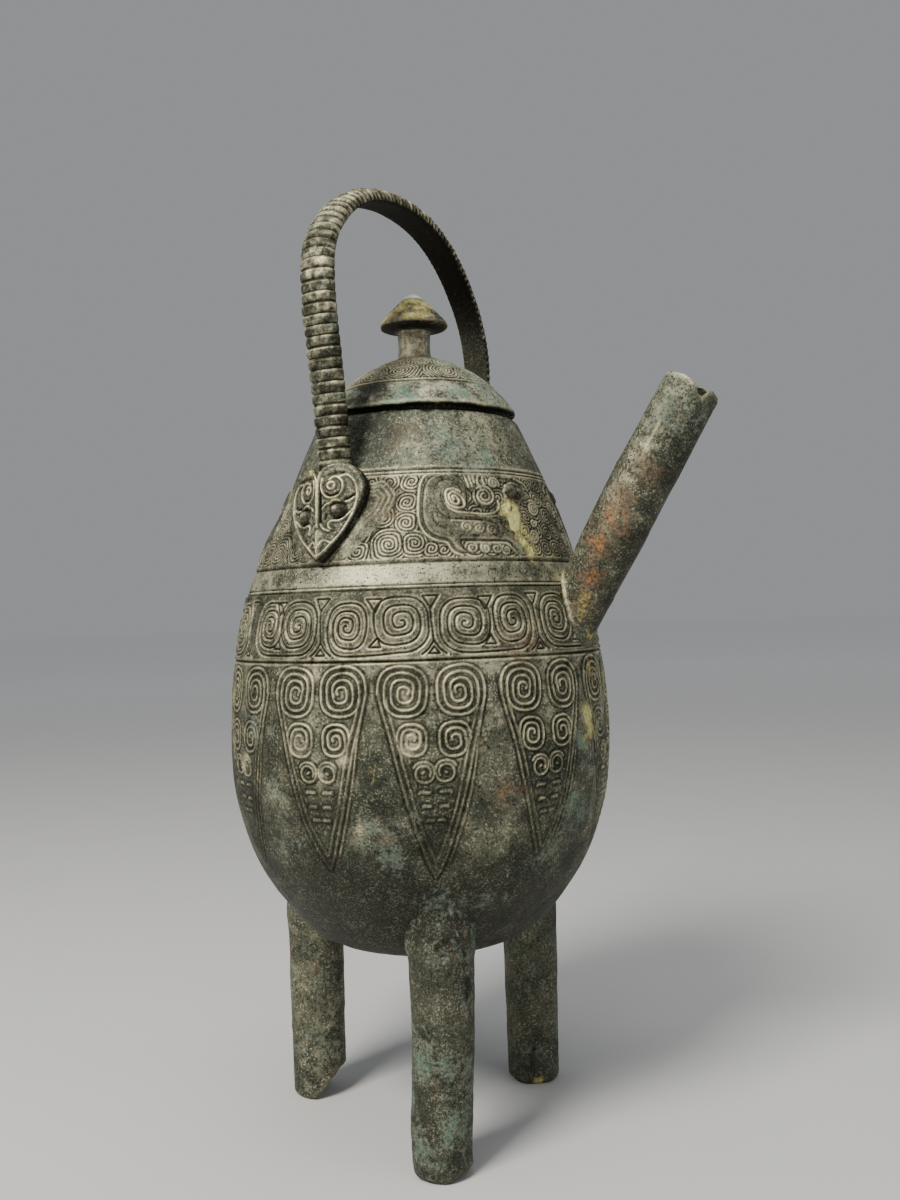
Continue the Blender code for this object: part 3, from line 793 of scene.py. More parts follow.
def belly_tone(th, p):
    """How bright the surface is: brighter on the shoulder and the plain band, with painted shade under the belly and on
    the side turned from the camera, and painted shadows and highlights in spots.
    """
    z = p[:, 0, 2]
    # painted shade: the tone falls to nothing under the belly, which faces the floor
    t = np.interp(z, (60, 85, 110, 135, 165, 172, 175, 197, 198, 205, 206, 238, 240, 262), (0.00, 0.02, 0.15, 0.32, 0.48, 0.50, 0.46, 0.48, 0.77, 0.85, 0.56, 0.56, 0.41, 0.39))
    # painted light: the side that faces the camera is made lighter, the far side darker
    front = 0.5 + 0.5 * np.cos(th + math.radians(64.0))
    t = t[:, None] * (0.64 + 0.42 * front[None, :])
    # cloudy: rubbed pale in places, brown-black in others, most of all on the neck and the plain band
    cloud = SWELL.sum(p + 700, 11.0, 3)
    plain = np.interp(z, (130, 170, 197, 199, 204, 206, 237, 240, 262), (0.22, 0.16, 0.14, 0.08, 0.08, 0.16, 0.16, 0.11, 0.11))
    t = t + 0.5 * polish_and_glint(th, s_of_z(z), np.hypot(p[:, 0, 0], p[:, 0, 1])) * (z < 178.0)[:, None]
    t = t + plain[:, None] * cloud + (0.12 + 0.5 * plain[:, None] - 0.07) * PATCH.sum(p + 710, 4.0, 3)
    # Spots of tone: angle, height, width, height span, amount. The one at -77 on the neck is a painted shadow of the
    # strap, the one at 228 a painted shadow beside the mask, and the one low at -90 painted shade. On the plain band at
    # 202 there is a painted highlight at -73 with painted shade to either side. The rest lighten or darken the surface
    # in patches.
    for at, high, wide, tall, much in ((-77.0, 252.0, 10.0, 12.0, -0.48), (-54.0, 249.0, 10.0, 6.0, 0.16), (-66.0, 244.0, 7.0, 4.0, 0.06), (-16.0, 250.0, 26.0, 14.0, 0.30), (22.0, 135.0, 22.0, 45.0, 0.26), (-101.8, 140.0, 5.0, 6.0, -0.26), (-70.0, 144.0, 5.5, 10.0, -0.24), (-69.3, 131.0, 5.0, 7.0, -0.22), (-39.0, 114.5, 9.0, 6.0, 0.30), (-76.8, 114.5, 5.0, 6.0, 0.24), (-72.3, 121.0, 3.5, 4.0, 0.34), (-101.2, 130.0, 4.0, 7.0, 0.20), (-40.0, 168.0, 26.0, 28.0, 0.15), (-74.5, 228.0, 4.5, 9.0, -0.22), (-90.0, 100.0, 16.0, 10.0, -0.14), (-106.0, 202.0, 16.0, 4.0, -0.26), (-92.0, 202.0, 7.0, 4.0, -0.24), (-73.0, 202.0, 6.5, 4.0, 0.44), (-24.0, 202.0, 17.0, 4.0, -0.46)):
        d = (np.degrees(th) - at)[None, :] / wide
        t = t + much * np.exp(-(d**2) - (((z - high) / tall) ** 2)[:, None])
    return np.clip(t, 0, 1.1)


def surface_noise(p, amount=1.0):
    """Unevenness of the casting: slow swell, lumps, fine grain and pits, in mm."""
    h = 0.26 * SWELL.sum(p, 26.0, 2) + 0.085 * SWELL.at(p + 50, 6.0) + 0.035 * GRAIN.at(p, 1.6)
    pit = steps(0.38, 0.80, CRUST.at(p, 2.3)) * steps(-0.2, 0.5, CRUST.at(p + 70, 15.0))
    return amount * (h - 0.16 * pit), pit


def body_ring(name, s0, s1, rows, cols, ornament, rough=1.0):
    rows, cols = max(6, int(rows * FINE)), max(24, int(cols * FINE))
    th = around(cols)
    s = np.linspace(s0, s1, rows)
    r, z = r_of(s), z_of(s)
    nr, nz = normal_of(s)
    base = np.stack([r[:, None] * np.cos(th), r[:, None] * np.sin(th), np.broadcast_to(z[:, None], (rows, cols))], -1)
    h, cav, edge = ornament(th, s, r) if ornament else (0.0, 0.0, 0.0)
    lh, lc, le = rings_round(th, s)
    h, cav, edge = h + lh, np.maximum(cav, lc), np.maximum(edge, le) * (1 - lc)
    wear = 0.72 + 0.42 * SWELL.sum(base + 400, 22.0, 2)
    h = h * np.clip(wear + 0.25, 0.45, 1.15)
    bump, pit = surface_noise(base, rough)
    crust = steps(0.25, 0.85, CRUST.sum(base + 150, 7.0, 3))
    low = steps(150.0, 110.0, z)[:, None]
    h = h + bump + (0.10 + 0.12 * low) * crust * (0.4 + GRAIN.at(base + 9, 2.0))
    if s0 == TOP_S:  # the lip is rounded, worn and has one small chip
        lip = np.clip(1 - (s - TOP_S) / 2.6, 0, 1)[:, None]
        chip = np.exp(-(((np.degrees(th) + 52.0) / 3.2) ** 2)) + 0.6 * np.exp(-(((np.degrees(th) - 120.0) / 5.0) ** 2))
        h = h - 1.25 * lip**2 - 1.3 * lip * chip[None, :]
        # the lip is darkened: painted shadow in the gap under the lid
        cav = np.maximum(cav, 0.9 * lip**1.5)
    rr, zz = r[:, None] + nr[:, None] * h, z[:, None] + nz[:, None] * h
    p = np.stack([rr * np.cos(th), rr * np.sin(th), zz + 0 * rr], -1)
    cav = np.clip(cav + 0.45 * pit, 0, 1) + 0 * rr
    edge = np.clip(edge, 0, 1) * np.clip(wear, 0.25, 1.2) + 0 * rr
    build = Build()
    at = build.add(leaned(p), cav=cav, edge=edge, tone=belly_tone(th, p), **patina(p, cav, edge))
    keep = open_bore(p) if s0 < 100 and s1 > 50 else None
    build.sheet(at, flip=True, keep=keep)
    # The inner wall, dark as painted shade
    many = 240 if keep is not None else 120
    ti = around(many)
    si = np.linspace(s0, s1, max(3, int((s1 - s0) / (2.2 if keep is not None else 5.0)) + 1))
    ri, zi = inset_of(si)
    if s0 == TOP_S:
        line = [(MOUTH_R, RIM_Z - 0.4), (MOUTH_R, 257.0), (MOUTH_R, 254.0), (38.2, 252.4)]
        keep_s = si > 9.6
        ri = np.r_[[q[0] for q in line], ri[keep_s]]
        zi = np.r_[[q[1] for q in line], zi[keep_s]]
    if s1 > LENGTH - 1e-6:
        ri[-1] = 0.4
    q = np.stack([ri[:, None] * np.cos(ti), ri[:, None] * np.sin(ti), zi[:, None] + 0 * ti], -1)
    inner = build.add(leaned(q), cav=0.7, edge=0.0, tone=0.15)
    build.sheet(inner, keep=open_bore(q) if keep is not None else None)
    build.seam(at[0], inner[0])
    if s1 > LENGTH - 1e-6:
        build.fan(at[-1], (0, 0, z_of(LENGTH)), flip=True, tone=0.1)
        build.fan(inner[-1], (0, 0, z_of(LENGTH) + WALL), tone=0.15, cav=0.7)
    else:
        build.seam(at[-1], inner[-1], flip=True)
    return build.done(name, VESSEL, "vessel")


# ---- spout ------------------------------------------------------------------

spout_dir = (SPOUT_TIP - SPOUT_ROOT) / np.linalg.norm(SPOUT_TIP - SPOUT_ROOT)
spout_len = float(np.linalg.norm(SPOUT_TIP - SPOUT_ROOT))
spout_up = np.array([-spout_dir[2], 0.0, spout_dir[0]])  # the tube's upper, inner side
spout_side = np.cross(spout_dir, spout_up)


def root_bend(t):
    """Sideways bend of the tube near its root, in mm."""
    return 3.2 * steps(54, -4, t)


def open_bore(p):
    """False for the belly's quads that lie inside the spout's tube, so that its bore opens into the belly."""
    d = p - SPOUT_ROOT - np.array([0.0, 3.1, 0.0])
    t = d @ spout_dir
    r = np.sqrt(np.maximum((d**2).sum(-1) - t**2, 0))
    hit = (r < 8.9) & (np.abs(t) < 40)
    hit = np.hstack([hit, hit[:, :1]])
    return ~(hit[:-1, :-1] & hit[1:, :-1] & hit[1:, 1:] & hit[:-1, 1:])


def to_wall(psi, radius, depth):
    """Distance along the spout, from its root, at which a line at that side of the tube meets the belly, depth mm under its face."""
    side = np.cos(psi)[:, None] * spout_up + np.sin(psi)[:, None] * spout_side
    t = np.linspace(-30, 25, 1101)
    p = SPOUT_ROOT + side[:, None, :] * radius + t[None, :, None] * spout_dir + np.array([0.0, 3.1, 0.0])
    s = s_of_z(p[..., 2])
    ri, _ = inset_of(s, depth)
    out = np.hypot(p[..., 0], p[..., 1]) > ri
    return t[np.argmax(out, axis=1)]


def make_spout():
    n, m = max(24, int(150 * FINE)), max(20, int(160 * FINE))
    psi = math.tau * np.arange(n) / n
    start = to_wall(psi, 9.8, 1.4)
    face = to_wall(psi, 9.8, 0.0)
    u = np.linspace(0, 1, m)
    # The lip is worn and broken: a notch on its near side, a nick beyond it
    deg = np.degrees(psi)

    def gap(at, wide):
        return np.exp(-((((deg - at + 180) % 360 - 180) / wide) ** 2))

    end = spout_len + 1.5 * gap(84, 34) - 2.9 * np.exp(-(((deg - 134) / 12) ** 4)) + 0.5 * gap(158, 9) - 0.5 * gap(200, 26) + 0.22 * np.sin(psi * 3 + 1) - 0.8 * gap(290, 20)
    end = end + 0.45 * GRAIN.at(np.stack([9 * np.cos(psi), 9 * np.sin(psi), 0 * psi + 40], -1), 2.2)
    t = start[None, :] + (end - start)[None, :] * u[:, None]
    side = np.cos(psi)[:, None] * spout_up + np.sin(psi)[:, None] * spout_side
    radius = 11.0 - 1.2 * np.clip(t, 0, spout_len) / spout_len - 1.25 * steps(34, -2, t)
    above = np.clip(t - face[None, :], 0, None)
    radius = radius + 0.5 * np.exp(-((above / 2.0) ** 1.3)) * (0.75 + 0.5 * SWELL.at(np.stack([11 * np.cos(psi), 11 * np.sin(psi), 0 * psi], -1), 6.0))[None, :]
    base = SPOUT_ROOT + t[..., None] * spout_dir + side[None] * radius[..., None]
    bump, pit = surface_noise(base, 1.15)
    ridge = np.exp(-(((deg[None, :] - 91 - 3 * np.sin(t / 14)) / 2.6) ** 2)) * steps(54, 60, t) * steps(79, 73, t)
    weld = np.exp(-(((above - 1.2) / 0.9) ** 2)) * gap(66, 52)[None, :]
    lip = np.exp(-(((end[None, :] - t) / 1.1) ** 2))
    crust = steps(0.1, 0.8, CRUST.sum(base + 150, 5.0, 3))
    radius = radius + bump + 0.16 * crust + 0.16 * ridge + 0.45 * weld - 0.75 * lip
    p = SPOUT_ROOT + t[..., None] * spout_dir + side[None] * radius[..., None] + root_bend(t)[..., None] * np.array([0.0, 1.0, 0.0])

    blown = 4.5 * GRAIN.sum(base + 44, 7.0, 3)
    turned = 5.0 * GRAIN.sum(base + 144, 6.0, 3)

    def spot(at, long, turn, wide):
        return np.exp(-(((t + blown - at) / long) ** 2) - ((((deg[None, :] + 4.5 * turned - turn + 180) % 360 - 180) / wide) ** 2))

    blot = PATCH.sum(base + 320, 5.0, 4)
    red = 0.54 * spot(45, 12, 90, 42) + 0.50 * spot(34, 8, 96, 36) + 0.92 * spot(25, 8, 86, 40) + 0.92 * spot(13.5, 4.5, 102, 26) + 0.62 * spot(5, 7, 122, 30) + 0.34 * spot(56, 8, 110, 44) + 0.30 * spot(40, 22, 250, 60)
    red = red * (0.86 + 0.62 * blot)
    pale = (0.66 * spot(5.0, 6.0, 128, 26) + 0.95 * spot(-6, 2.6, 178, 26) + 0.45 * weld) * (0.85 + 0.7 * PATCH.sum(base + 520, 4.0, 3))
    green = 0.06 + 0.30 * PATCH.sum(base + 220, 9.0, 3) + 0.25 * spot(-6, 4, 182, 40) + 0.24 * steps(58, 80, t)
    # painted shade on the tube's side at 195 degrees, a painted lit side at 84 degrees, lighter towards the tip, and a
    # painted highlight on it near 46 mm
    shadow = np.exp(-((((deg - 195 + 180) % 360 - 180) / 62) ** 2))[None, :]
    painted_lit_side = np.exp(-((((deg - 84 + 180) % 360 - 180) / 40) ** 2))[None, :]
    tone = 0.34 + 0.11 * painted_lit_side + 0.14 * steps(50, 76, t) * painted_lit_side - 0.16 * shadow + 0.26 * SWELL.sum(base + 77, 5.0, 3) - 0.16 * spot(14, 13, 96, 46) + 0.24 * spot(46, 10, 78, 30) - 0.14 * spot(4, 7, 116, 36) + 0.80 * weld
    build = Build()
    at = build.add(p, cav=np.clip(0.5 * pit, 0, 1) + 0 * t, edge=np.clip(0.5 * lip + 0.45 * ridge + 0.45 * weld, 0, 1), tone=tone, red=np.clip(red, 0, 1), pale=np.clip(pale, 0, 1), green=np.clip(green, 0, 1))
    build.sheet(at, flip=True)
    # bore, dark as painted shade
    mb = 36
    nb = 72
    pb = math.tau * np.arange(nb) / nb
    sb = to_wall(pb, 8.2, 2.4)
    eb = np.interp(pb, np.r_[psi, math.tau], np.r_[end, end[0]])
    ub = np.linspace(1, 0, mb)
    tb = sb[None, :] + (eb - 0.5 - sb)[None, :] * ub[:, None]
    sideb = np.cos(pb)[:, None] * spout_up + np.sin(pb)[:, None] * spout_side
    q = SPOUT_ROOT + root_bend(tb)[..., None] * np.array([0.0, 1.0, 0.0]) + tb[..., None] * spout_dir + sideb[None] * (8.2 + 0.08 * GRAIN.at(np.stack([tb, 8 * np.cos(pb) + 0 * tb, 8 * np.sin(pb) + 0 * tb], -1), 3.0))[..., None]
    inner = build.add(q, cav=0.75, tone=0.2)
    build.sheet(inner, flip=True)
    build.seam(at[-1], inner[0], flip=True)
    build.seam(at[0], inner[-1])
    return build.done("spout_tube", VESSEL, "vessel")


# ---- legs -------------------------------------------------------------------


def make_leg(i, angle):
    n, m = max(24, int(80 * FINE)), max(20, int(120 * FINE))
    psi = math.tau * np.arange(n) / n
    a = math.radians(angle)
    cx, cy = LEG_CIRCLE * math.cos(a), LEG_CIRCLE * math.sin(a)
    pull = 5.0 if i == 0 else 1.0  # the leg bends inwards as it enters the belly
    aside = 1.6 if i == 0 else 0.0
    tx, ty = cx - pull * math.cos(a) + 0.857 * aside, cy - pull * math.sin(a) + 0.515 * aside
    wide = 11.7

    def under(xx, yy, depth):
        """Height of the belly's underside, depth mm inside its face."""
        s = np.linspace(s_of_z(112.0), LENGTH - 0.2, 600)
        r, z = inset_of(s, depth)
        order = np.argsort(r)
        return np.interp(np.hypot(xx, yy), r[order], z[order])

    def sole_at(xx, yy):
        """The left foot is broken away slantwise, the front one lifts a little on one side."""
        d = (xx - cx) * math.cos(math.radians(31.0)) + (yy - cy) * math.sin(math.radians(31.0))
        side = (yy - cy) * math.cos(math.radians(31.0)) - (xx - cx) * math.sin(math.radians(31.0))
        if i == 2:
            return np.clip(1.05 * (d + 1.0) + 0.5 * np.sin(0.9 * side + 1), 0, 10)
        return np.clip(0.30 * (d - 3.5), 0, 2.2) if i == 0 else 0.0 * d

    top = under(tx + wide * np.cos(psi), ty + wide * np.sin(psi), 1.3)
    low = sole_at(cx + 10.1 * np.cos(psi), cy + 10.1 * np.sin(psi))
    v = np.linspace(0, 1, m) ** 0.97
    z = low[None, :] + v[:, None] * (top - low)[None, :]
    below = np.clip(top[None, :] - z, 0, None)
    lift = z - low[None, :]
    foot = np.clip(1 - lift / 1.8, 0, 1)
    radius = np.interp(z, (0, 60, 76, 92), (10.1, 10.9, 11.3, 11.7)) + 0.9 * np.exp(-((below / 3.0) ** 1.4)) - 1.3 * foot**2
    deg = np.degrees(psi)

    def lobe(at, size):
        return np.exp(-((((deg - at + 180) % 360 - 180) / size) ** 2))[None, :]

    # chips at the foot
    if i == 0:
        radius = radius - 0.8 * lobe(-95, 16) * steps(3.2, 0, lift) - 1.0 * lobe(-20, 14) * steps(2.6, 0, lift) - 0.6 * lobe(-150, 22) * steps(4.0, 0, lift)
    elif i == 1:
        radius = radius - 1.1 * lobe(-52, 18) * steps(4.0, 0, lift) - 0.6 * lobe(-130, 16) * steps(3.0, 0, lift)
    shift = pull * steps(68, 92, z)
    over = aside * steps(8, 60, z)
    ox, oy = cx - shift * math.cos(a) + 0.857 * over, cy - shift * math.sin(a) + 0.515 * over
    base = np.stack([ox + radius * np.cos(psi), oy + radius * np.sin(psi), z], -1)
    bump, pit = surface_noise(base * (1, 1, 0.8) + 31 * i, 1.2)
    grain = 0.16 * GRAIN.sum(base + 17, 2.2, 2) + 0.30 * SWELL.at(base + 90, 9.0)
    radius = radius + (bump + grain) * (0.30 + 0.70 * steps(0.0, 0.9, lift))
    if i == 0:  # the casting's shoulder, an uneven lip where the leg was joined on
        shoulder = np.exp(-(((z - 73.5 - 1.2 * np.sin(2 * psi)[None, :]) / 1.6) ** 2))
        radius = radius + 0.45 * shoulder * (0.6 + 0.6 * SWELL.at(base + 130, 5.0))
    p = np.stack([ox + radius * np.cos(psi), oy + radius * np.sin(psi), z], -1)
    rough = PATCH.sum(base + 610, 6.0, 3)
    green = 0.20 + 0.50 * PATCH.sum(base + 700, 9.0, 3) + (0.12 if i == 0 else 0.0)
    red = (0.34 if i == 2 else 0.20) * steps(-0.1, 0.7, PATCH.sum(base + 800, 6.0, 3))
    pale = 0.20 * steps(0.3, 0.9, rough) + 0.55 * steps(5, 0, lift) * steps(-0.2, 0.6, rough) + (0.9 * lobe(-52, 16) * steps(4.5, 1.5, lift) if i == 1 else 0.0)
    tone = (0.22, 0.29, 0.40)[i] + 0.16 * SWELL.sum(base + 33, 10.0, 3) - 0.12 * steps(70, 90, z)
    build = Build()
    at = build.add(p, cav=np.clip(0.7 * pit, 0, 1), edge=0.0, tone=tone, green=np.clip(green, 0, 1), red=np.clip(red, 0, 1), pale=np.clip(pale, 0, 1))
    build.sheet(at)
    rows = [at[-1]]
    for f in (0.75, 0.5, 0.25):
        xx, yy = tx + f * (p[-1, :, 0] - tx), ty + f * (p[-1, :, 1] - ty)
        rows.append(build.add(np.stack([xx, yy, under(xx, yy, 1.3)], -1)[None], tone=0.2)[0])
    build.sheet(np.array(rows))
    build.fan(rows[-1], (tx, ty, float(under(tx, ty, 1.3))), tone=0.2)
    sole = [at[0]]
    for f in (0.8, 0.6, 0.4, 0.2):
        q = p[0] * 1.0
        q[:, 0], q[:, 1] = cx + f * (q[:, 0] - cx), cy + f * (q[:, 1] - cy)
        q[:, 2] = sole_at(q[:, 0], q[:, 1])
        if i == 2:
            q[:, 2] += 0.35 * GRAIN.at(q, 2.5) * (q[:, 2] > 0.6)
        sole.append(build.add(q[None], tone=0.3, cav=0.2, pale=0.25 if i == 2 else 0.0)[0])
    build.sheet(np.array(sole), flip=True)
    build.fan(sole[-1], (cx, cy, float(sole_at(cx, cy))), flip=True, tone=0.3, cav=0.2)
    build.hard += [at[0]]
    return build.done(("leg_front", "leg_right", "leg_left")[i], VESSEL, "vessel")


# ---- strap handle -----------------------------------------------------------


def make_strap():
    path = through(STRAP_PATH, 20)
    run = np.r_[0, np.cumsum(np.hypot(*np.diff(path, axis=0).T))]
    m = max(60, int(560 * FINE))
    u = np.linspace(0, run[-1], m)
    y, z = np.interp(u, run, path[:, 0]), np.interp(u, run, path[:, 1])
    ty, tz = np.gradient(y, u), np.gradient(z, u)
    size = np.hypot(ty, tz)
    ty, tz = ty / size, tz / size
    # Section: crown outside, flat inside; k runs round it
    half, thick = 6.3, 5.3
    crown = np.linspace(-1, 1, 27)
    sec = [(c * half, -thick / 2 + thick * (0.30 + 0.70 * math.sqrt(max(0.0, 1 - c * c)))) for c in crown]
    sec += [(half, -thick / 2 + 0.7), (half - 0.7, -thick / 2)]
    sec += [(c * (half - 0.7), -thick / 2) for c in (0.6, 0.2, -0.2, -0.6)]
    sec += [(-half + 0.7, -thick / 2), (-half, -thick / 2 + 0.7)]
    sec = np.array(sec)
    k = len(sec)
    outer = np.array([1.0] * 27 + [0.75, 0.0] + [0.0] * 4 + [0.0, 0.75])
    # The ribs are wide apart low on the near side and closer over the top
    total = run[-1]
    k_of = u / total
    gap = np.interp(k_of, (0, 0.06, 0.24, 0.36, 0.45, 0.6, 0.8, 1.0), (3.85, 3.85, 3.75, 3.0, 2.5, 2.4, 2.8, 3.2))
    turn = np.cumsum(np.r_[0, np.diff(u) / (0.5 * (gap[1:] + gap[:-1]))])
    turn = turn + 0.10 * GRAIN.at(np.stack([u, 0 * u, 0 * u], -1), 9.0)
    # over the top they run aslant
    slant = 1.1 * steps(0.22, 0.40, k_of) * steps(0.98, 0.75, k_of) / gap
    turn = turn[:, None] + slant[:, None] * (sec[:, 0] / half)[None, :]
    phase = turn % 1.0
    over = steps(0.26, 0.40, k_of)[:, None]  # flat broad ribs on the near side, thin round ones over the top
    rib = (1 - over) * (1.0 - np.abs(2 * phase - 1) ** 4.5) + over * (1.0 - np.abs(2 * phase - 1) ** 1.4)
    valley = (1 - over) * steps(0.37, 0.46, np.abs(phase - 0.5)) + over * steps(0.20, 0.42, np.abs(phase - 0.5))
    rising = (u < u[np.argmax(z)])[:, None]
    side_of = np.where(rising, phase, 1 - phase)
    lit = (1 - over) * (np.exp(-(((side_of - 0.82) / 0.07) ** 2)) + 0.35 * np.exp(-(((side_of - 0.17) / 0.06) ** 2))) + over * np.exp(-(((side_of - 0.55) / 0.16) ** 2))
    ends = steps(0, 3.0, u) * steps(0, 3.0, total - u)
    # Each rib is a little narrower or wider than the next
    own = 0.25 * GRAIN.at(np.stack([np.floor(turn) * 3.7, 0 * turn, 0 * turn + 5], -1), 2.0)
    lean = np.interp(k_of, (0, 0.2, 0.5, 0.8, 1.0), (0.4, 0.2, -1.3, -1.0, -0.6))
    narrow = np.interp(k_of, (0, 0.25, 0.5, 0.75, 1.0), (1.0, 1.06, 1.0, 0.90, 0.90))
    cx = sec[:, 0][None, :] * narrow[:, None]
    cn = sec[:, 1][None, :] + 0 * u[:, None]
    swell = (rib * (1 + own) - 0.70) * (0.95 - 0.60 * steps(10, 45, y)[:, None]) * outer[None, :] * ends[:, None]
    dirx = np.where(outer > 0, sec[:, 0] / half, 0.0)
    dirn = np.where(outer > 0, 0.35 + 0.65 * np.sqrt(np.clip(1 - (sec[:, 0] / half) ** 2, 0, 1)), 0.0)
    cx = cx + swell * dirx[None, :] * 0.85 + lean[:, None]
    cn = cn + swell * dirn[None, :]
    base = np.stack([cx, y[:, None] - tz[:, None] * cn, z[:, None] + ty[:, None] * cn], -1)
    bump, pit = surface_noise(base * 1.0 + 300, 0.55)
    cn = cn + (bump + 0.05 * GRAIN.at(base, 1.3)) * np.where(outer > 0, 1.0, -1.0)[None, :]
    # the outside of the arch faces away from the axis
    p = np.stack([cx, y[:, None] - tz[:, None] * cn, z[:, None] + ty[:, None] * cn], -1)
    # the flat inner face is painted dark as shade, least where it opens out low on the far side
    flat = (outer == 0)[None, :]
    open_side = (steps(15, 42, y) * steps(325, 300, z))[:, None]
    worn_off = steps(-0.45, 0.55, CRUST.sum(base + 70, 2.4, 3))
    fleck = steps(-0.05, 0.40, GRAIN.sum(base + 5, 1.5, 2))
    cav = np.clip(valley * outer[None, :] + 0.4 * pit + 0.80 * (1 - worn_off) * (1 - flat) + flat * (1.0 - 0.55 * open_side), 0, 1) + 0 * cx
    edge = np.clip((1.15 * lit * (0.55 + 0.75 * fleck) + 0.60 * steps(0.35, 0.95, rib) * worn_off * fleck) * outer[None, :], 0, 1) * (0.85 + 0.45 * SWELL.sum(base + 210, 5.0, 2))
    # a painted highlight at the near upper bend, on the rib edges here and in the tone below
    edge = np.clip(edge * (1 + 0.5 * np.exp(-(((k_of - 0.34) / 0.10) ** 2)))[:, None], 0, 1)
    rough = PATCH.sum(base + 900, 7.0, 3)
    tone = 0.50 + 0.18 * np.exp(-(((k_of - 0.50) / 0.12) ** 2))[:, None] + 0.20 * rough + 0.36 * np.exp(-(((k_of - 0.34) / 0.09) ** 2))[:, None] - 0.14 * steps(10, 60, y)[:, None]
    tone = np.where(flat, 0.02 + 0.22 * open_side + 0 * tone, tone)
    build = Build()
    at = build.add(p, cav=cav, edge=edge, tone=tone, green=np.clip(0.10 + 0.4 * rough, 0, 1) * ~flat, red=np.clip(0.15 * steps(0.3, 0.8, PATCH.sum(base + 950, 6.0, 3)), 0, 1), pale=0.0)
    build.sheet(at, flip=False)
    build.fan(at[0], (lean[0], y[0], z[0]), flip=False)
    build.fan(at[-1], (lean[-1], y[-1], z[-1]), flip=True)
    return build.done("strap_handle", VESSEL, "vessel")


# ---- masks ------------------------------------------------------------------

MASK_W, MASK_H, MASK_FOLD = 15.5, 34.6, 0.36
MASK_TURN = math.radians(7.0)

MASK_LINES = [  # raised lines of the right half, from the ridge and up from the tip
    [(1.4, 31.2), (0.5, 28.8), (0.3, 25.0), (0.3, 20.0), (0.25, 16.0), (0.2, 12.0)],
    [(4.1, 28.6), (5.9, 29.5), (7.5, 28.8), (8.6, 26.9), (8.4, 24.5), (7.2, 22.8), (5.2, 22.0), (3.2, 22.5), (1.9, 24.2), (1.4, 26.4), (1.8, 29.0)],
    [(5.6, 27.4), (4.6, 27.7), (3.7, 27.1), (3.6, 26.0), (4.4, 25.2), (5.5, 25.5), (5.8, 26.5)],
    [(7.5, 29.4), (9.8, 29.8), (11.6, 28.5), (12.8, 26.4), (13.3, 23.9), (13.2, 20.6), (12.6, 17.6), (11.6, 15.0), (10.0, 12.2), (7.8, 9.0), (5.2, 6.1), (2.4, 3.3), (0.6, 1.5)],
    [(2.0, 18.2), (3.0, 19.6), (4.4, 20.2)],
    [(4.9, 20.9), (6.2, 21.1), (7.4, 20.6)],
    [(9.6, 20.2), (11.0, 20.5), (12.3, 21.4)],
    [(4.8, 10.8), (3.9, 11.7), (4.0, 13.1), (5.0, 13.8), (6.9, 13.7), (8.9, 14.4), (10.7, 16.0), (12.0, 17.3)],
    [(1.3, 12.8), (2.2, 11.2), (3.9, 10.3)],
    [(0.8, 4.8), (1.4, 6.5), (2.5, 7.1), (3.9, 6.4), (4.8, 5.8)],
]
MASK_CUTS = [
    [(2.7, 23.6), (4.4, 23.0), (6.8, 23.4)],
    [(9.3, 21.2), (11.0, 21.6), (12.0, 22.6)],
    [(3.4, 30.3), (5.8, 31.0), (8.6, 30.9)],
    [(1.1, 28.0), (0.95, 24.0), (0.95, 19.0), (0.9, 14.0)],
    [(2.6, 14.6), (3.0, 16.2)],
]
MASK_EYE = (6.9, 17.4, 2.15)
HEART = [(0.0, 0.0), (3.6, 2.8), (7.8, 7.5), (11.3, 12.7), (13.9, 18.0), (15.3, 22.9), (15.3, 27.5), (13.3, 31.7), (9.9, 34.0), (6.1, 34.6), (2.9, 33.6), (0.9, 32.0)]


def heart(count):
    """Outline from the tip round the right lobe, the notch and the left lobe, in mm."""
    line = through([*HEART, (0.0, 31.2)], 12)
    run = np.r_[0, np.cumsum(np.hypot(*np.diff(line, axis=0).T))]
    at = run[-1] * np.arange(count) / count
    half = np.stack([np.interp(at, run, line[:, 0]), np.interp(at, run, line[:, 1])], -1)
    return np.vstack([half, [(0.0, 31.2)], half[1:][::-1] * (-1, 1)])


def segment_distance(x, y, lines):
    d = np.full(x.shape, 9.0, np.float32)
    for line in lines:
        p = through(line, 6)
        for a, b in zip(p[:-1], p[1:]):
            v = b - a
            t = np.clip(((x - a[0]) * v[0] + (y - a[1]) * v[1]) / max(v @ v, 1e-9), 0, 1)
            d = np.minimum(d, np.hypot(x - a[0] - t * v[0], y - a[1] - t * v[1]))
    return d


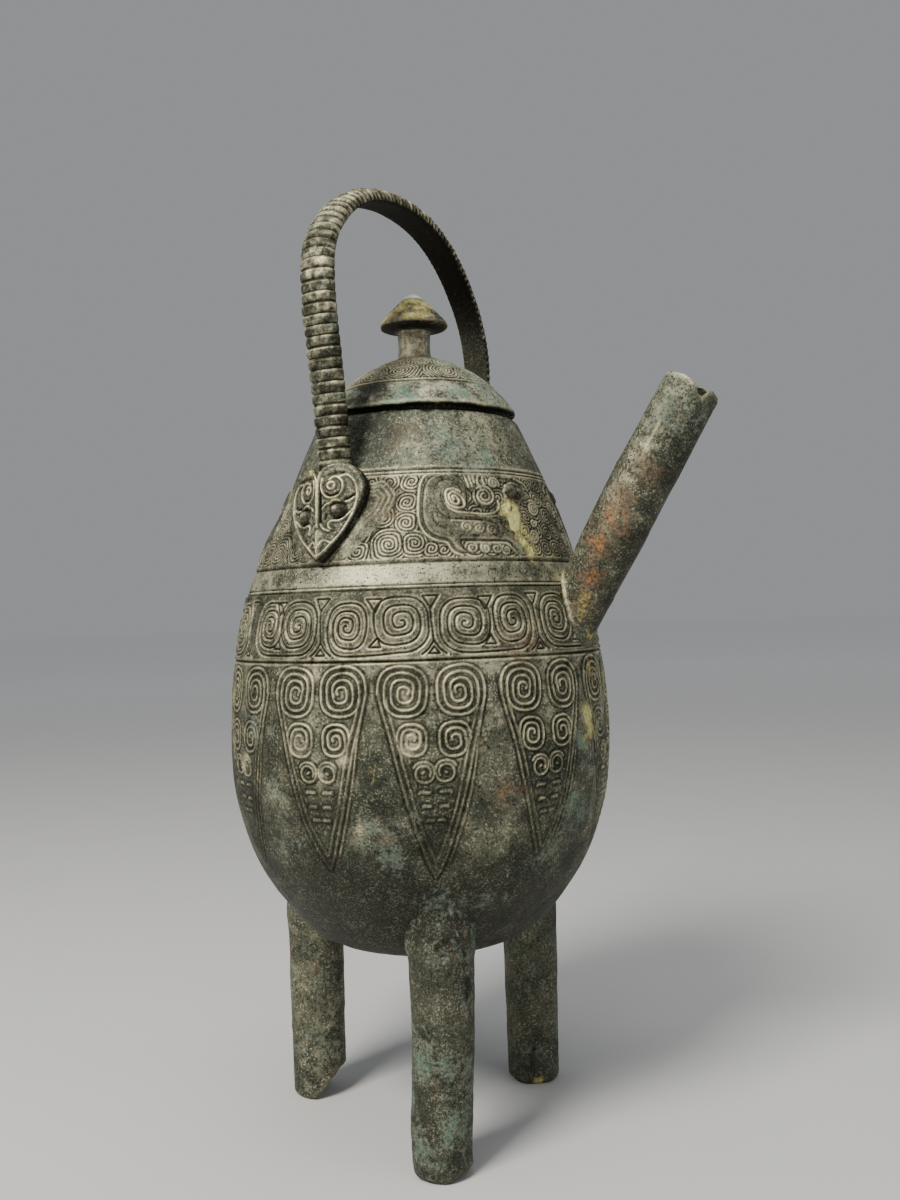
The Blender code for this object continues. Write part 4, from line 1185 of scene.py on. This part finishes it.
def make_mask(side):
    top = np.array([0.0, side * 57.0, 242.0])
    tip = np.array([0.0, side * 64.8, 206.0])
    up = (top - tip) / np.linalg.norm(top - tip)
    out = np.array([0.0, side * up[2], -side * up[1]])
    across = np.cross(up, out)
    fine = side < 0 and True
    outline = heart(130 if fine else 84)
    middle = np.array([0.0, 0.50 * MASK_H])
    rings = np.r_[np.linspace(0.0, 0.90, 60 if fine else 40)[1:], 0.93, 0.96, 0.985, 1.0]
    xy = middle + rings[:, None, None] * (outline - middle)[None]
    edge_in = (1 - rings)[:, None] * np.linalg.norm(outline - middle, axis=1)[None]

    def relief(x, y, rim):
        ax = np.abs(x)
        d = segment_distance(ax, y, MASK_LINES)
        c = segment_distance(ax, y, MASK_CUTS)
        e = np.hypot(ax - MASK_EYE[0], y - MASK_EYE[1]) / MASK_EYE[2]
        t = np.exp(-((d / 0.34) ** 2))
        g = np.exp(-((c / 0.42) ** 2)) * (1 - t)
        around_it = np.exp(-(((d - 0.80) / 0.45) ** 2)) * (1 - t)
        moat = np.exp(-(((e - 1.22) / 0.26) ** 2))
        border = steps(1.9, 1.5, rim)
        ball = np.sqrt(np.clip(1 - e**2, 0, 1))
        spine = np.exp(-((ax / 0.85) ** 2)) * steps(12.5, 9.0, y) * steps(0.2, 1.6, y)
        h = 0.50 * t - 0.60 * g - 0.22 * around_it + 2.2 * ball - 0.55 * moat + 0.75 * spine
        h = h + 0.40 * border - 0.45 * np.clip(1 - rim / 0.5, 0, 1) ** 2
        # a painted glint on each eye ball, which is darkened round it; the outer rim is darkened as painted shade on
        # the plate's edge
        shine = np.exp(-((((x - MASK_EYE[0] * np.sign(x)) + 0.3) ** 2 + (y - MASK_EYE[1] - 0.5) ** 2) / 0.7))
        cav = np.clip(0.90 * g + 0.62 * around_it + 0.95 * moat + 0.55 * ball * (1 - shine) + 0.45 * steps(0.9, 0.2, rim), 0, 1) * (1 - 0.9 * spine)
        edge = np.clip(1.0 * t + 1.0 * spine + 0.7 * shine, 0, 1)
        return h, cav, edge

    turn = MASK_TURN if side < 0 else -MASK_TURN

    def place(x, y, h):
        """From the heart's own plane, turned a little and folded along its ridge, to the vessel."""
        z = h - MASK_FOLD * np.abs(x)
        cx, cy = x, y - 0.5 * MASK_H
        rx = cx * math.cos(turn) - cy * math.sin(turn) * 1.0
        ry = cx * math.sin(turn) + cy * math.cos(turn)
        rx, ry = cx * math.cos(turn) - cy * math.sin(turn), cx * math.sin(turn) + cy * math.cos(turn)
        return tip + rx[..., None] * across + (ry + 0.5 * MASK_H + 0.9)[..., None] * up + z[..., None] * out

    build = Build()
    h, cav, edge = relief(xy[..., 0], xy[..., 1], edge_in)
    flat = place(xy[..., 0], xy[..., 1], h)
    bump, pit = surface_noise(flat, 0.7)
    h = h + bump * 0.6 + 0.05 * GRAIN.at(flat, 1.2)
    p = place(xy[..., 0], xy[..., 1], h)
    rough = PATCH.sum(p + 1000, 7.0, 3)
    front = build.add(p, cav=np.clip(cav + 0.3 * pit, 0, 1), edge=edge * np.clip(0.85 + 0.5 * SWELL.sum(p + 640, 5.0, 2), 0.3, 1.2), tone=0.42 + 0.20 * rough, green=np.clip(0.10 + 0.4 * rough, 0, 1), red=np.clip(0.16 * steps(0.2, 0.7, PATCH.sum(p + 1100, 5.0, 3)), 0, 1), pale=1.1 * np.exp(-(((xy[..., 0] + 3.1) / 1.6) ** 2) - ((xy[..., 1] - 32.6) / 1.1) ** 2) + 0.8 * np.exp(-(((xy[..., 0] - 6.2) / 1.2) ** 2) - ((xy[..., 1] - 20.9) / 0.7) ** 2))
    build.sheet(front, flip=side > 0)
    h0, c0, e0 = relief(np.array([0.0]), np.array([middle[1]]), np.array([9.0]))
    centre = place(np.array([0.0]), np.array([middle[1]]), h0)[0]
    build.fan(front[0], centre, flip=side > 0, cav=float(c0[0]), edge=float(e0[0]), tone=0.5)
    # sides, then the pad behind, which spreads into the belly; the third number of each row darkens it, as painted
    # shade on the plate's sides and the pad
    rows = []
    for size, depth, mark in ((1.0, -0.7, 0.75), (1.0, -1.8, 0.95), (0.995, -3.2, 0.95), (0.97, -4.6, 1.0), (0.90, -6.2, 0.8), (0.80, -6.8, 0.7), (0.76, -8.5, 0.5), (0.77, -10.5, 0.35), (0.80, -12.5, 0.3), (0.86, -15.0, 0.3), (0.92, -17.5, 0.3), (0.90, -21.0, 0.4)):
        q = middle + size * (outline - middle)
        # the pad behind is a plain block: its back doesn't fold away so far
        deep = min(1.0, max(0.0, (-depth - 5.0) / 6.0))
        x, y = q[:, 0], q[:, 1]
        hh = np.full(len(q), depth) + deep * 0.5 * MASK_FOLD * np.abs(x)
        r = place(x, y, hh)
        b2, _ = surface_noise(r, 0.8)
        r = r + 0.8 * b2[:, None] * (0.4 * out + across * np.sign(x)[:, None] * 0.6)
        rows.append(build.add(r[None], cav=mark, tone=0.42, green=np.clip(0.15 + 0.5 * PATCH.sum(r[None] + 1000, 7.0, 3), 0, 1))[0])
    build.sheet(np.array([front[-1], *rows]), flip=side > 0)
    back = place(np.array([0.0]), np.array([middle[1]]), np.array([-21.0]))[0]
    build.fan(rows[-1], back, flip=side < 0)
    return build.done("mask_near" if side < 0 else "mask_far", VESSEL, "vessel")


# ---- lid --------------------------------------------------------------------

LID_DOME = [(5.9, 286.6), (6.8, 285.9), (12.0, 283.9), (18.0, 281.0), (22.5, 278.4), (26.5, 275.4), (30.2, 272.0), (33.5, 268.4), (36.0, 265.0), (36.9, 263.4), (37.0, 262.6), (36.3, 262.0), (35.2, 261.8)]


def make_lid():
    n, m = max(40, int(480 * FINE)), max(24, int(90 * FINE))
    dome = through(LID_DOME, 10)
    run = np.r_[0, np.cumsum(np.hypot(*np.diff(dome, axis=0).T))]
    s = np.linspace(0, run[-1], m)
    r, z = np.interp(s, run, dome[:, 0]), np.interp(s, run, dome[:, 1])
    dr, dz = np.gradient(r, s), np.gradient(z, s)
    size = np.hypot(dr, dz)
    nr, nz = -dz / size, dr / size
    th = around(n)
    line_s = float(np.interp(30.0, dome[:80, 0], run[:80]))
    foot_s = float(run[90])
    # two rows of volutes on the dome, big ones in pairs below a plain ring at the stem
    degrees = np.degrees(th)
    centres = []
    for k in range(12):
        centres.append((30.0 * k - 68.0 + (3.0 if k % 2 else -3.0), line_s - 7.2, 5.6, 1 if k % 2 else -1))
    for k in range(12):
        centres.append((30.0 * k - 53.0, line_s - 14.6, 3.2, -1 if k % 2 else 1))
    line, border = scrolls(th, s, r, centres, 1.22, 7.0, line_s - 1.2, 2.3)
    zone = steps(7.0, 8.2, s)[:, None] * steps(line_s - 0.9, line_s - 1.9, s)[:, None]
    ring = np.exp(-(((s - line_s) / 0.45) ** 2))[:, None] + 0.7 * np.exp(-(((s - line_s + 1.5) / 0.30) ** 2))[:, None] + 0.7 * np.exp(-(((s - 6.4) / 0.4) ** 2))[:, None]
    bead = np.exp(-(((s - line_s + 0.75) / 0.35) ** 2))[:, None]
    h = 0.26 * zone * (line - 0.45) - 0.12 * zone * border - 0.30 * ring + 0.14 * bead
    base = np.stack([r[:, None] * np.cos(th), r[:, None] * np.sin(th), z[:, None] + 0 * th], -1)
    bump, pit = surface_noise(base + 60, 0.8)
    crust = steps(0.15, 0.8, CRUST.sum(base + 180, 5.0, 3)) * steps(line_s, line_s + 3, s)[:, None]
    fade = steps(0.0, 1.0, s)[:, None]
    h = (h + bump + 0.16 * crust * (0.5 + GRAIN.at(base + 4, 1.8))) * fade
    # the edge is uneven where it doesn't quite meet the mouth
    rim = steps(foot_s - 2.2, foot_s + 0.6, s)[:, None]
    uneven = 0.35 * SWELL.at(np.stack([20 * np.cos(th), 20 * np.sin(th), 0 * th], -1), 7.0) + 0.16 * GRAIN.at(np.stack([30 * np.cos(th), 30 * np.sin(th), 0 * th], -1), 2.2)
    rr, zz = r[:, None] + nr[:, None] * h, z[:, None] + nz[:, None] * h + rim * (0.30 + uneven[None, :])
    p = np.stack([rr * np.cos(th), rr * np.sin(th), zz], -1)
    lower = steps(line_s + 0.4, line_s + 2.0, s)[:, None]
    rough = PATCH.sum(base + 1300, 7.0, 3)
    ang = np.cos(th + math.radians(48.0))[None, :]
    spots = 1.0 * np.exp(-(((degrees + 71.0) / 6.0) ** 2)) + 1.1 * np.exp(-(((degrees + 16.0) / 9.0) ** 2)) + 0.8 * np.exp(-(((degrees - 120.0) / 14.0) ** 2))
    green = np.clip(lower * (0.34 + 0.60 * rough + 0.20 * ang + spots[None, :] * (0.55 + 0.8 * rough)) + (1 - lower) * (0.06 + 0.40 * rough), 0, 1)
    red = np.clip(0.14 * steps(0.2, 0.7, PATCH.sum(base + 1400, 5.0, 3)) + 0.16 * steps(line_s - 8, 6, s)[:, None] * (0.6 + 0.6 * rough), 0, 1)
    pale = np.clip(lower * steps(0.0, 0.6, PATCH.sum(base + 1500, 6.0, 3)) * 0.30, 0, 1)
    tone = 0.52 + 0.18 * lower + (0.22 + 0.50 * lower) * SWELL.sum(base + 60, 5.0, 3) - (0.10 + 0.40 * lower) * np.exp(-(((degrees + 96.0) / 24.0) ** 2))[None, :]
    green = np.clip(green + (1 - lower) * 0.55 * np.exp(-(((np.degrees(th) + 8.0) / 26.0) ** 2))[None, :] * (0.7 + rough), 0, 1)
    # the part of the edge that turns under is darkened, as painted shade
    under = steps(foot_s + 0.5, foot_s + 1.4, s)[:, None]
    cav = np.clip(zone * (0.8 * (1 - line) ** 1.5 + 0.3 * border) + 0.9 * ring + 0.4 * pit + under, 0, 1)
    edge = np.clip(0.7 * zone * line**2 + 0.8 * bead + 0.55 * np.exp(-(((s - foot_s) / 0.6) ** 2))[:, None], 0, 1) * (1 - np.clip(ring, 0, 1))
    build = Build()
    at = build.add(p, cav=cav, edge=edge, tone=tone * (1 - 0.7 * under), green=green * (1 - under), red=red, pale=pale)
    build.sheet(at, flip=True)
    # underside: bearing face, plain lip and the hollow dome, dark as painted shade
    ni = 140
    ti = around(ni)
    low = [(34.6, 261.7), (34.6, 258.0), (34.4, 255.9), (33.9, 255.6), (32.6, 255.7), (32.3, 256.2), (32.3, 261.6), (31.4, 265.6), (29.8, 268.9), (25.0, 273.6), (18.0, 277.9), (8.0, 281.6), (2.0, 282.2)]
    q = np.array(low)
    q = np.stack([q[:, 0, None] * np.cos(ti), q[:, 0, None] * np.sin(ti), q[:, 1, None] + 0 * ti], -1)
    inner = build.add(q, cav=0.7, tone=0.2)
    build.sheet(inner, flip=True)
    build.seam(at[-1], inner[0], flip=True, hard=False)
    build.fan(inner[-1], (0, 0, 282.3), flip=True, cav=0.7, tone=0.2)
    build.fan(at[0], (0, 0, 286.6), flip=False)
    build.done("lid_dome", LID, "lid", LID_SHIFT)

    # knob: a stem and a conical cap with a flat underside
    n, m = max(36, int(128 * FINE)), max(30, int(80 * FINE))
    knob = [(6.4, 284.6), (6.3, 286.4), (6.05, 289.6), (6.1, 293.2), (6.25, 295.2), (6.6, 296.1), (9.5, 297.0), (12.3, 297.6), (12.85, 298.2), (12.8, 299.0), (12.1, 300.15), (9.45, 303.15), (6.3, 306.5), (3.4, 309.4), (2.0, 310.5), (0.9, 310.8)]
    line = through(knob, 8)
    run = np.r_[0, np.cumsum(np.hypot(*np.diff(line, axis=0).T))]
    s = np.linspace(0, run[-1], m)
    r, z = np.interp(s, run, line[:, 0]), np.interp(s, run, line[:, 1])
    th = -math.pi + math.tau * (np.arange(n) + 0.5) / n
    base = np.stack([r[:, None] * np.cos(th), r[:, None] * np.sin(th), z[:, None] + 0 * th], -1)
    bump, pit = surface_noise(base * 1.2 + 400, 0.7)
    cap = steps(297.3, 298.8, z)[:, None]
    rimk = np.exp(-(((z - 298.2) / 0.8) ** 2))[:, None]
    rag = 0.45 * GRAIN.at(np.stack([14 * np.cos(th), 14 * np.sin(th), 0 * th], -1), 4.0)
    rr = r[:, None] + (bump + 0.12 * GRAIN.at(base, 1.4) * cap) * steps(1.0, 5.0, r)[:, None] + rimk * rag[None, :]
    p = np.stack([rr * np.cos(th), rr * np.sin(th), z[:, None] + 0 * rr], -1)
    rough = PATCH.sum(base + 1600, 5.0, 3)
    white = steps(307.7, 308.9, z)[:, None]
    # the flat underside of the cap is darkened, as painted shade
    face = steps(296.2, 296.7, z)[:, None] * (1 - cap)
    stem = steps(296.4, 295.6, z)[:, None]
    turned = np.degrees(th)
    # painted highlights: bright upright streaks on the stem, tinted copper through the red mark
    stripe = (np.exp(-(((turned + 92.0) / 12.0) ** 2)) + np.exp(-(((turned + 36.0) / 13.0) ** 2)) + 0.8 * np.exp(-(((turned - 100.0) / 16.0) ** 2)))[None, :]
    far_rim = np.exp(-(((np.degrees(th) - 10.0) / 42.0) ** 2))[None, :]
    at_build = Build()
    at = at_build.add(
        p,
        cav=np.clip(0.5 * pit + 0.85 * face, 0, 1),
        edge=np.clip(0.30 * rimk + stem * stripe, 0, 1),
        tone=np.clip(0.30 * cap + 0.68 * stem + 0.14 * rough, 0, 1) * (1 - white) + 1.5 * white,
        green=np.clip(cap * (0.10 + 0.3 * rough), 0, 1) * (1 - white),
        red=np.clip(stem * (0.10 + 0.3 * rough + 0.55 * stripe) + 0.7 * rimk * far_rim, 0, 1),
        pale=np.clip(cap * (0.40 + 0.6 * rough), 0, 1) * (1 - white),
    )
    at_build.sheet(at)
    at_build.fan(at[-1], (0, 0, 310.85), edge=0.0, tone=1.5)
    at_build.fan(at[0], (0, 0, 284.4), flip=True)
    at_build.done("lid_knob", LID, "lid", (1.7, 1.05, 0.0))


LID_SHIFT = (2.3, 1.4, 0.0)


# ---- material ---------------------------------------------------------------


class Graph:
    """Short calls for building a node tree."""

    def __init__(self, material):
        self.tree = material.node_tree
        self.nodes, self.links = self.tree.nodes, self.tree.links

    def put(self, socket, value):
        if hasattr(value, "links"):
            self.links.new(value, socket)
        else:
            socket.default_value = value

    def math(self, kind, a, b=0.0, clamp=False):
        n = self.nodes.new("ShaderNodeMath")
        n.operation, n.use_clamp = kind, clamp
        self.put(n.inputs[0], a)
        self.put(n.inputs[1], b)
        return n.outputs[0]

    def ramp(self, value, lo, hi, a=0.0, b=1.0):
        n = self.nodes.new("ShaderNodeMapRange")
        n.interpolation_type = "SMOOTHSTEP"
        self.put(n.inputs["Value"], value)
        for key, v in (("From Min", lo), ("From Max", hi), ("To Min", a), ("To Max", b)):
            self.put(n.inputs[key], v)
        return n.outputs["Result"]

    def mix(self, fac, a, b):
        n = self.nodes.new("ShaderNodeMix")
        n.data_type = "RGBA"
        self.put(n.inputs["Factor"], fac)
        self.put(n.inputs["A"], a if hasattr(a, "links") else (*a, 1.0))
        self.put(n.inputs["B"], b if hasattr(b, "links") else (*b, 1.0))
        return n.outputs["Result"]

    def noise(self, where, mm, detail=3.0, rough=0.55, seed=0.0):
        n = self.nodes.new("ShaderNodeTexNoise")
        n.noise_dimensions = "4D"
        self.put(n.inputs["Vector"], where)
        n.inputs["W"].default_value = seed
        n.inputs["Scale"].default_value = 1000.0 / mm
        n.inputs["Detail"].default_value = detail
        n.inputs["Roughness"].default_value = rough
        return n.outputs["Fac"]

    def cells(self, where, mm):
        n = self.nodes.new("ShaderNodeTexVoronoi")
        self.put(n.inputs["Vector"], where)
        n.inputs["Scale"].default_value = 1000.0 / mm
        return n.outputs["Distance"]

    def mark(self, name):
        n = self.nodes.new("ShaderNodeAttribute")
        n.attribute_type = "GEOMETRY"
        n.attribute_name = name
        return n.outputs["Fac"]


def bronze(name, body, shade, wear_and_light, seed):
    """Old bronze: olive patina, darker in the hollows and where shade is painted, pale where it is rubbed and where
    highlights are painted, with crusts of corrosion.
    """
    made = bpy.data.materials.new(name)
    made.use_nodes = True
    g = Graph(made)
    shader = g.nodes["Principled BSDF"]
    where = g.nodes.new("ShaderNodeTexCoord").outputs["Object"]
    cav, edge, tone = g.mark("cav"), g.mark("edge"), g.mark("tone")
    green, red, pale = g.mark("green"), g.mark("red"), g.mark("pale")
    wide = g.noise(where, 24.0, 4.0, 0.6, seed)
    mid = g.noise(where, 5.0, 4.0, 0.6, seed + 1)
    fine = g.noise(where, 1.0, 4.0, 0.66, seed + 2)
    fleck = g.noise(where, 0.62, 3.0, 0.65, seed + 5)
    grit = g.noise(where, 0.34, 2.0, 0.6, seed + 3)
    spots = g.noise(where, 2.4, 5.0, 0.68, seed + 4)
    field = g.noise(where, 7.0, 4.0, 0.62, seed + 8)

    base = g.mix(g.ramp(wide, 0.38, 0.62), shade, body)
    base = g.mix(g.math("MULTIPLY", g.ramp(field, 0.52, 0.68), 0.46), base, (0.092, 0.084, 0.056))
    sway = g.math("MULTIPLY", g.ramp(mid, 0.32, 0.68, -0.50, 0.30), g.ramp(tone, 0.60, 0.85, 1.0, 0.45))
    bright = g.math("MULTIPLY", tone, g.math("ADD", sway, 1.0))
    # pale metal where the tone is high: wear, and the painted highlights that the tone carries
    base = g.mix(g.ramp(bright, 0.28, 1.05, 0.0, 0.85), base, wear_and_light)
    # darker where the tone is low: dark patina, and the painted shade under the belly, inside and in the painted
    # shadows
    dark_patina_and_shade = g.math("MULTIPLY", g.ramp(tone, 0.45, 0.03), 0.88)
    base = g.mix(dark_patina_and_shade, base, tuple(0.30 * c for c in shade))
    # speckle: pale grains and dark pin holes, thick in some places and thin in others
    grain = g.math("MULTIPLY", g.ramp(fleck, 0.525, 0.61), g.ramp(field, 0.36, 0.62, 0.20, 0.92))
    grain = g.math("MULTIPLY", grain, g.ramp(tone, 0.0, 0.7, 0.22, 1.0))
    base = g.mix(grain, base, tuple(min(1.0, 1.10 * c) for c in wear_and_light))
    hole = g.math("MULTIPLY", g.ramp(fine, 0.480, 0.395), g.ramp(field, 0.64, 0.40, 0.42, 0.96))
    base = g.mix(hole, base, tuple(0.22 * c for c in shade))
    base = g.mix(g.math("MULTIPLY", g.ramp(grit, 0.56, 0.72), 0.24), base, tuple(min(1.0, 1.2 * c) for c in wear_and_light))
    # rubbed edges with painted glints, and dark hollows with painted shade
    rub_and_glint = g.math("MULTIPLY", edge, g.ramp(mid, 0.36, 0.60, 0.42, 1.15))
    rub_and_glint = g.math("MULTIPLY", rub_and_glint, g.ramp(fleck, 0.38, 0.56, 0.60, 1.12))
    rub_and_glint = g.math("MULTIPLY", rub_and_glint, g.ramp(tone, 0.0, 0.42, 0.55, 1.0), True)
    base = g.mix(rub_and_glint, base, (0.80, 0.735, 0.465))
    deep = g.math("MULTIPLY", cav, g.ramp(fine, 0.35, 0.65, 1.0, 0.84), True)
    base = g.mix(deep, base, (0.015, 0.014, 0.009))

    # corrosion, broken up by the noise
    def crust(amount, low, high, noise):
        edge_at = g.math("SUBTRACT", 1.0, amount)
        return g.ramp(g.math("SUBTRACT", noise, g.math("MULTIPLY", edge_at, 0.42)), low, high)

    gmask = crust(green, 0.18, 0.34, spots)
    gcol = g.mix(g.ramp(fine, 0.38, 0.62), (0.040, 0.056, 0.040), (0.215, 0.255, 0.185))
    gcol = g.mix(g.math("MULTIPLY", g.ramp(green, 0.45, 0.85), g.ramp(field, 0.40, 0.58)), gcol, (0.110, 0.250, 0.165))
    base = g.mix(g.math("MULTIPLY", gmask, 0.62), base, gcol)
    rmask = crust(red, 0.12, 0.40, g.noise(where, 3.4, 5.0, 0.65, seed + 6))
    rust = g.mix(g.ramp(red, 0.58, 0.98), (0.198, 0.130, 0.070), (0.385, 0.172, 0.052))
    rcol = g.mix(g.ramp(fine, 0.38, 0.60), (0.060, 0.036, 0.022), rust)
    rmask = g.math("MULTIPLY", rmask, g.ramp(g.noise(where, 1.7, 4.0, 0.62, seed + 9), 0.38, 0.56, 0.40, 0.92))
    rmask = g.math("MULTIPLY", rmask, g.ramp(red, 0.0, 0.16))
    base = g.mix(rmask, base, rcol)
    pmask = g.math("MULTIPLY", crust(pale, 0.16, 0.34, g.noise(where, 2.0, 5.0, 0.66, seed + 7)), g.ramp(pale, 0.0, 0.15))
    ochre = g.mix(g.ramp(pale, 0.50, 0.90), (0.40, 0.315, 0.090), (0.68, 0.665, 0.25))
    pcol = g.mix(g.ramp(fine, 0.36, 0.62), g.mix(g.ramp(pale, 0.50, 0.90), (0.13, 0.105, 0.045), (0.34, 0.36, 0.12)), ochre)
    base = g.mix(g.math("MULTIPLY", pmask, 0.82), base, pcol)
    base = g.mix(g.ramp(tone, 1.15, 1.40), base, (0.84, 0.85, 0.79))
    g.put(shader.inputs["Base Color"], base)

    crusty = g.math("MAXIMUM", g.math("MAXIMUM", gmask, rmask), pmask)
    metal = g.math("MULTIPLY", g.ramp(crusty, 0.0, 1.0, 0.62, 0.05), g.ramp(cav, 0.3, 1.0, 1.0, 1.5))
    g.put(shader.inputs["Metallic"], metal)
    rough = g.math("ADD", g.ramp(fine, 0.3, 0.7, 0.44, 0.60), g.ramp(tone, 0.2, 1.0, 0.10, -0.02))
    rough = g.math("ADD", rough, g.math("MULTIPLY", crusty, 0.22))
    rough = g.math("ADD", rough, g.math("MULTIPLY", cav, 0.15))
    rough = g.math("SUBTRACT", rough, g.math("MULTIPLY", edge, 0.10), True)
    g.put(shader.inputs["Roughness"], rough)

    pits = g.ramp(g.cells(where, 1.1), 0.05, 0.42)
    height = g.math("ADD", g.math("MULTIPLY", fine, 1.1), g.math("MULTIPLY", pits, 0.35))
    height = g.math("ADD", height, g.math("MULTIPLY", fleck, 0.6))
    height = g.math("ADD", height, g.math("MULTIPLY", grit, 0.45))
    height = g.math("ADD", height, g.math("MULTIPLY", g.math("MULTIPLY", crusty, spots), 1.2))
    bump = g.nodes.new("ShaderNodeBump")
    bump.inputs["Strength"].default_value = 0.70
    bump.inputs["Distance"].default_value = 0.00022
    g.put(bump.inputs["Height"], height)
    g.put(shader.inputs["Normal"], bump.outputs["Normal"])
    return made


VESSEL = bronze("vessel_patina", (0.107, 0.112, 0.072), (0.045, 0.053, 0.036), (0.545, 0.522, 0.352), 0.0)
LID = bronze("lid_patina", (0.112, 0.114, 0.078), (0.048, 0.054, 0.038), (0.53, 0.51, 0.36), 9.0)


# ---- stage, light and camera ------------------------------------------------


def make_stage():
    material = bpy.data.materials.new("floor_paper")
    material.use_nodes = True
    g = Graph(material)
    shader = g.nodes["Principled BSDF"]
    where = g.nodes.new("ShaderNodeTexCoord").outputs["Object"]
    shader.inputs["Roughness"].default_value = 0.9
    far = g.nodes.new("ShaderNodeVectorMath")
    far.operation = "LENGTH"
    g.put(far.inputs[0], where)
    near = g.mix(g.noise(where, 60.0, 3.0), (0.60, 0.60, 0.59), (0.64, 0.64, 0.63))
    g.put(shader.inputs["Base Color"], g.mix(g.ramp(far.outputs["Value"], 0.4, 3.5), near, (0.97, 0.97, 0.97)))
    mesh = bpy.data.meshes.new("floor")
    size = 14.0
    mesh.from_pydata([(-size, -size, 0), (size, -size, 0), (size, size, 0), (-size, size, 0)], [], [(0, 1, 2, 3)])
    floor = bpy.data.objects.new("floor", mesh)
    floor.location.z = -0.0002
    mesh.materials.append(material)
    bpy.context.scene.collection.objects.link(floor)

    world = bpy.data.worlds.new("soft_room")
    bpy.context.scene.world = world
    world.use_nodes = True
    back = world.node_tree.nodes["Background"]
    back.inputs["Color"].default_value = (0.88, 0.90, 0.93, 1.0)
    back.inputs["Strength"].default_value = 0.34


CAM_AIM = math.radians(31.0)
LOOK = Vector((-math.sin(CAM_AIM), math.cos(CAM_AIM), 0.0))
RIGHT = Vector((math.cos(CAM_AIM), math.sin(CAM_AIM), 0.0))


def light(name, side, up, dist, size, power, color):
    """An area light placed by its angle from the camera's direction and aimed at the belly."""
    a = math.radians(side)
    toward = -LOOK * math.cos(a) + RIGHT * math.sin(a)
    e = math.radians(up)
    place = Vector((AXIS_X * 0.001, 0.0, 0.18)) + (toward * math.cos(e) + Vector((0, 0, 1)) * math.sin(e)) * dist
    data = bpy.data.lights.new(name, "AREA")
    data.shape = "RECTANGLE"
    data.size, data.size_y = size
    data.energy = power
    data.color = color
    obj = bpy.data.objects.new(name, data)
    obj.location = place
    obj.rotation_euler = (Vector((AXIS_X * 0.001, 0.0, 0.17)) - place).to_track_quat("-Z", "Y").to_euler()
    bpy.context.scene.collection.objects.link(obj)


def make_camera():
    data = bpy.data.cameras.new("photo_view")
    data.sensor_fit = "AUTO"
    data.sensor_width = 36.0
    data.lens = 1150.0 * 36.0 / 1200.0
    data.clip_start = 0.01
    camera = bpy.data.objects.new("photo_view", data)
    bpy.context.scene.collection.objects.link(camera)
    pitch, roll = math.radians(0.66), math.radians(CAMERA_ROLL)
    look = (LOOK * math.cos(pitch) + Vector((0, 0, 1)) * math.sin(pitch)).normalized()
    right = RIGHT
    up = right.cross(look)
    turned_right = right * math.cos(roll) + up * math.sin(roll)
    turned_up = up * math.cos(roll) - right * math.sin(roll)
    m = Matrix((turned_right, turned_up, -look)).transposed().to_4x4()
    m.translation = Vector((AXIS_X * 0.001, 0.0, 0.0)) - LOOK * 0.44 + RIGHT * 0.01263 + Vector((0, 0, 0.1883))
    camera.matrix_world = m
    bpy.context.scene.camera = camera
    return camera


CAMERA_ROLL = -1.80


def main():
    make_stage()
    make_camera()
    light("key", -36, 44, 1.25, (0.42, 0.42), 21.0, (1.0, 0.965, 0.90))
    light("fill", 60, 15, 1.5, (0.8, 0.8), 1.9, (0.95, 0.97, 1.0))
    light("top", 5, 78, 1.2, (0.7, 0.7), 4.5, (1.0, 0.99, 0.96))

    body_ring("neck", TOP_S, 23.2, 38, 320, None)
    body_ring("dragon_band", 23.2, 59.6, 116, 760, dragon_band, 0.6)
    body_ring("plain_band", 59.6, 66.2, 16, 320, None, 0.7)
    body_ring("spiral_band", 66.2, 92.4, 100, 760, spiral_band, 0.7)
    body_ring("blade_band", 92.4, 131.5, 116, 760, blades, 0.8)
    body_ring("blade_points", 131.5, 168.5, 68, 520, blades, 1.1)
    body_ring("underside", 168.5, LENGTH, 50, 260, None, 1.3)
    make_spout()
    for i, angle in enumerate(LEG_ANGLES):
        make_leg(i, angle)
    make_strap()
    make_mask(-1)
    make_mask(1)
    make_lid()
    print("triangles", COUNTS, sum(COUNTS.values()))


main()
bpy.context.view_layer.update()
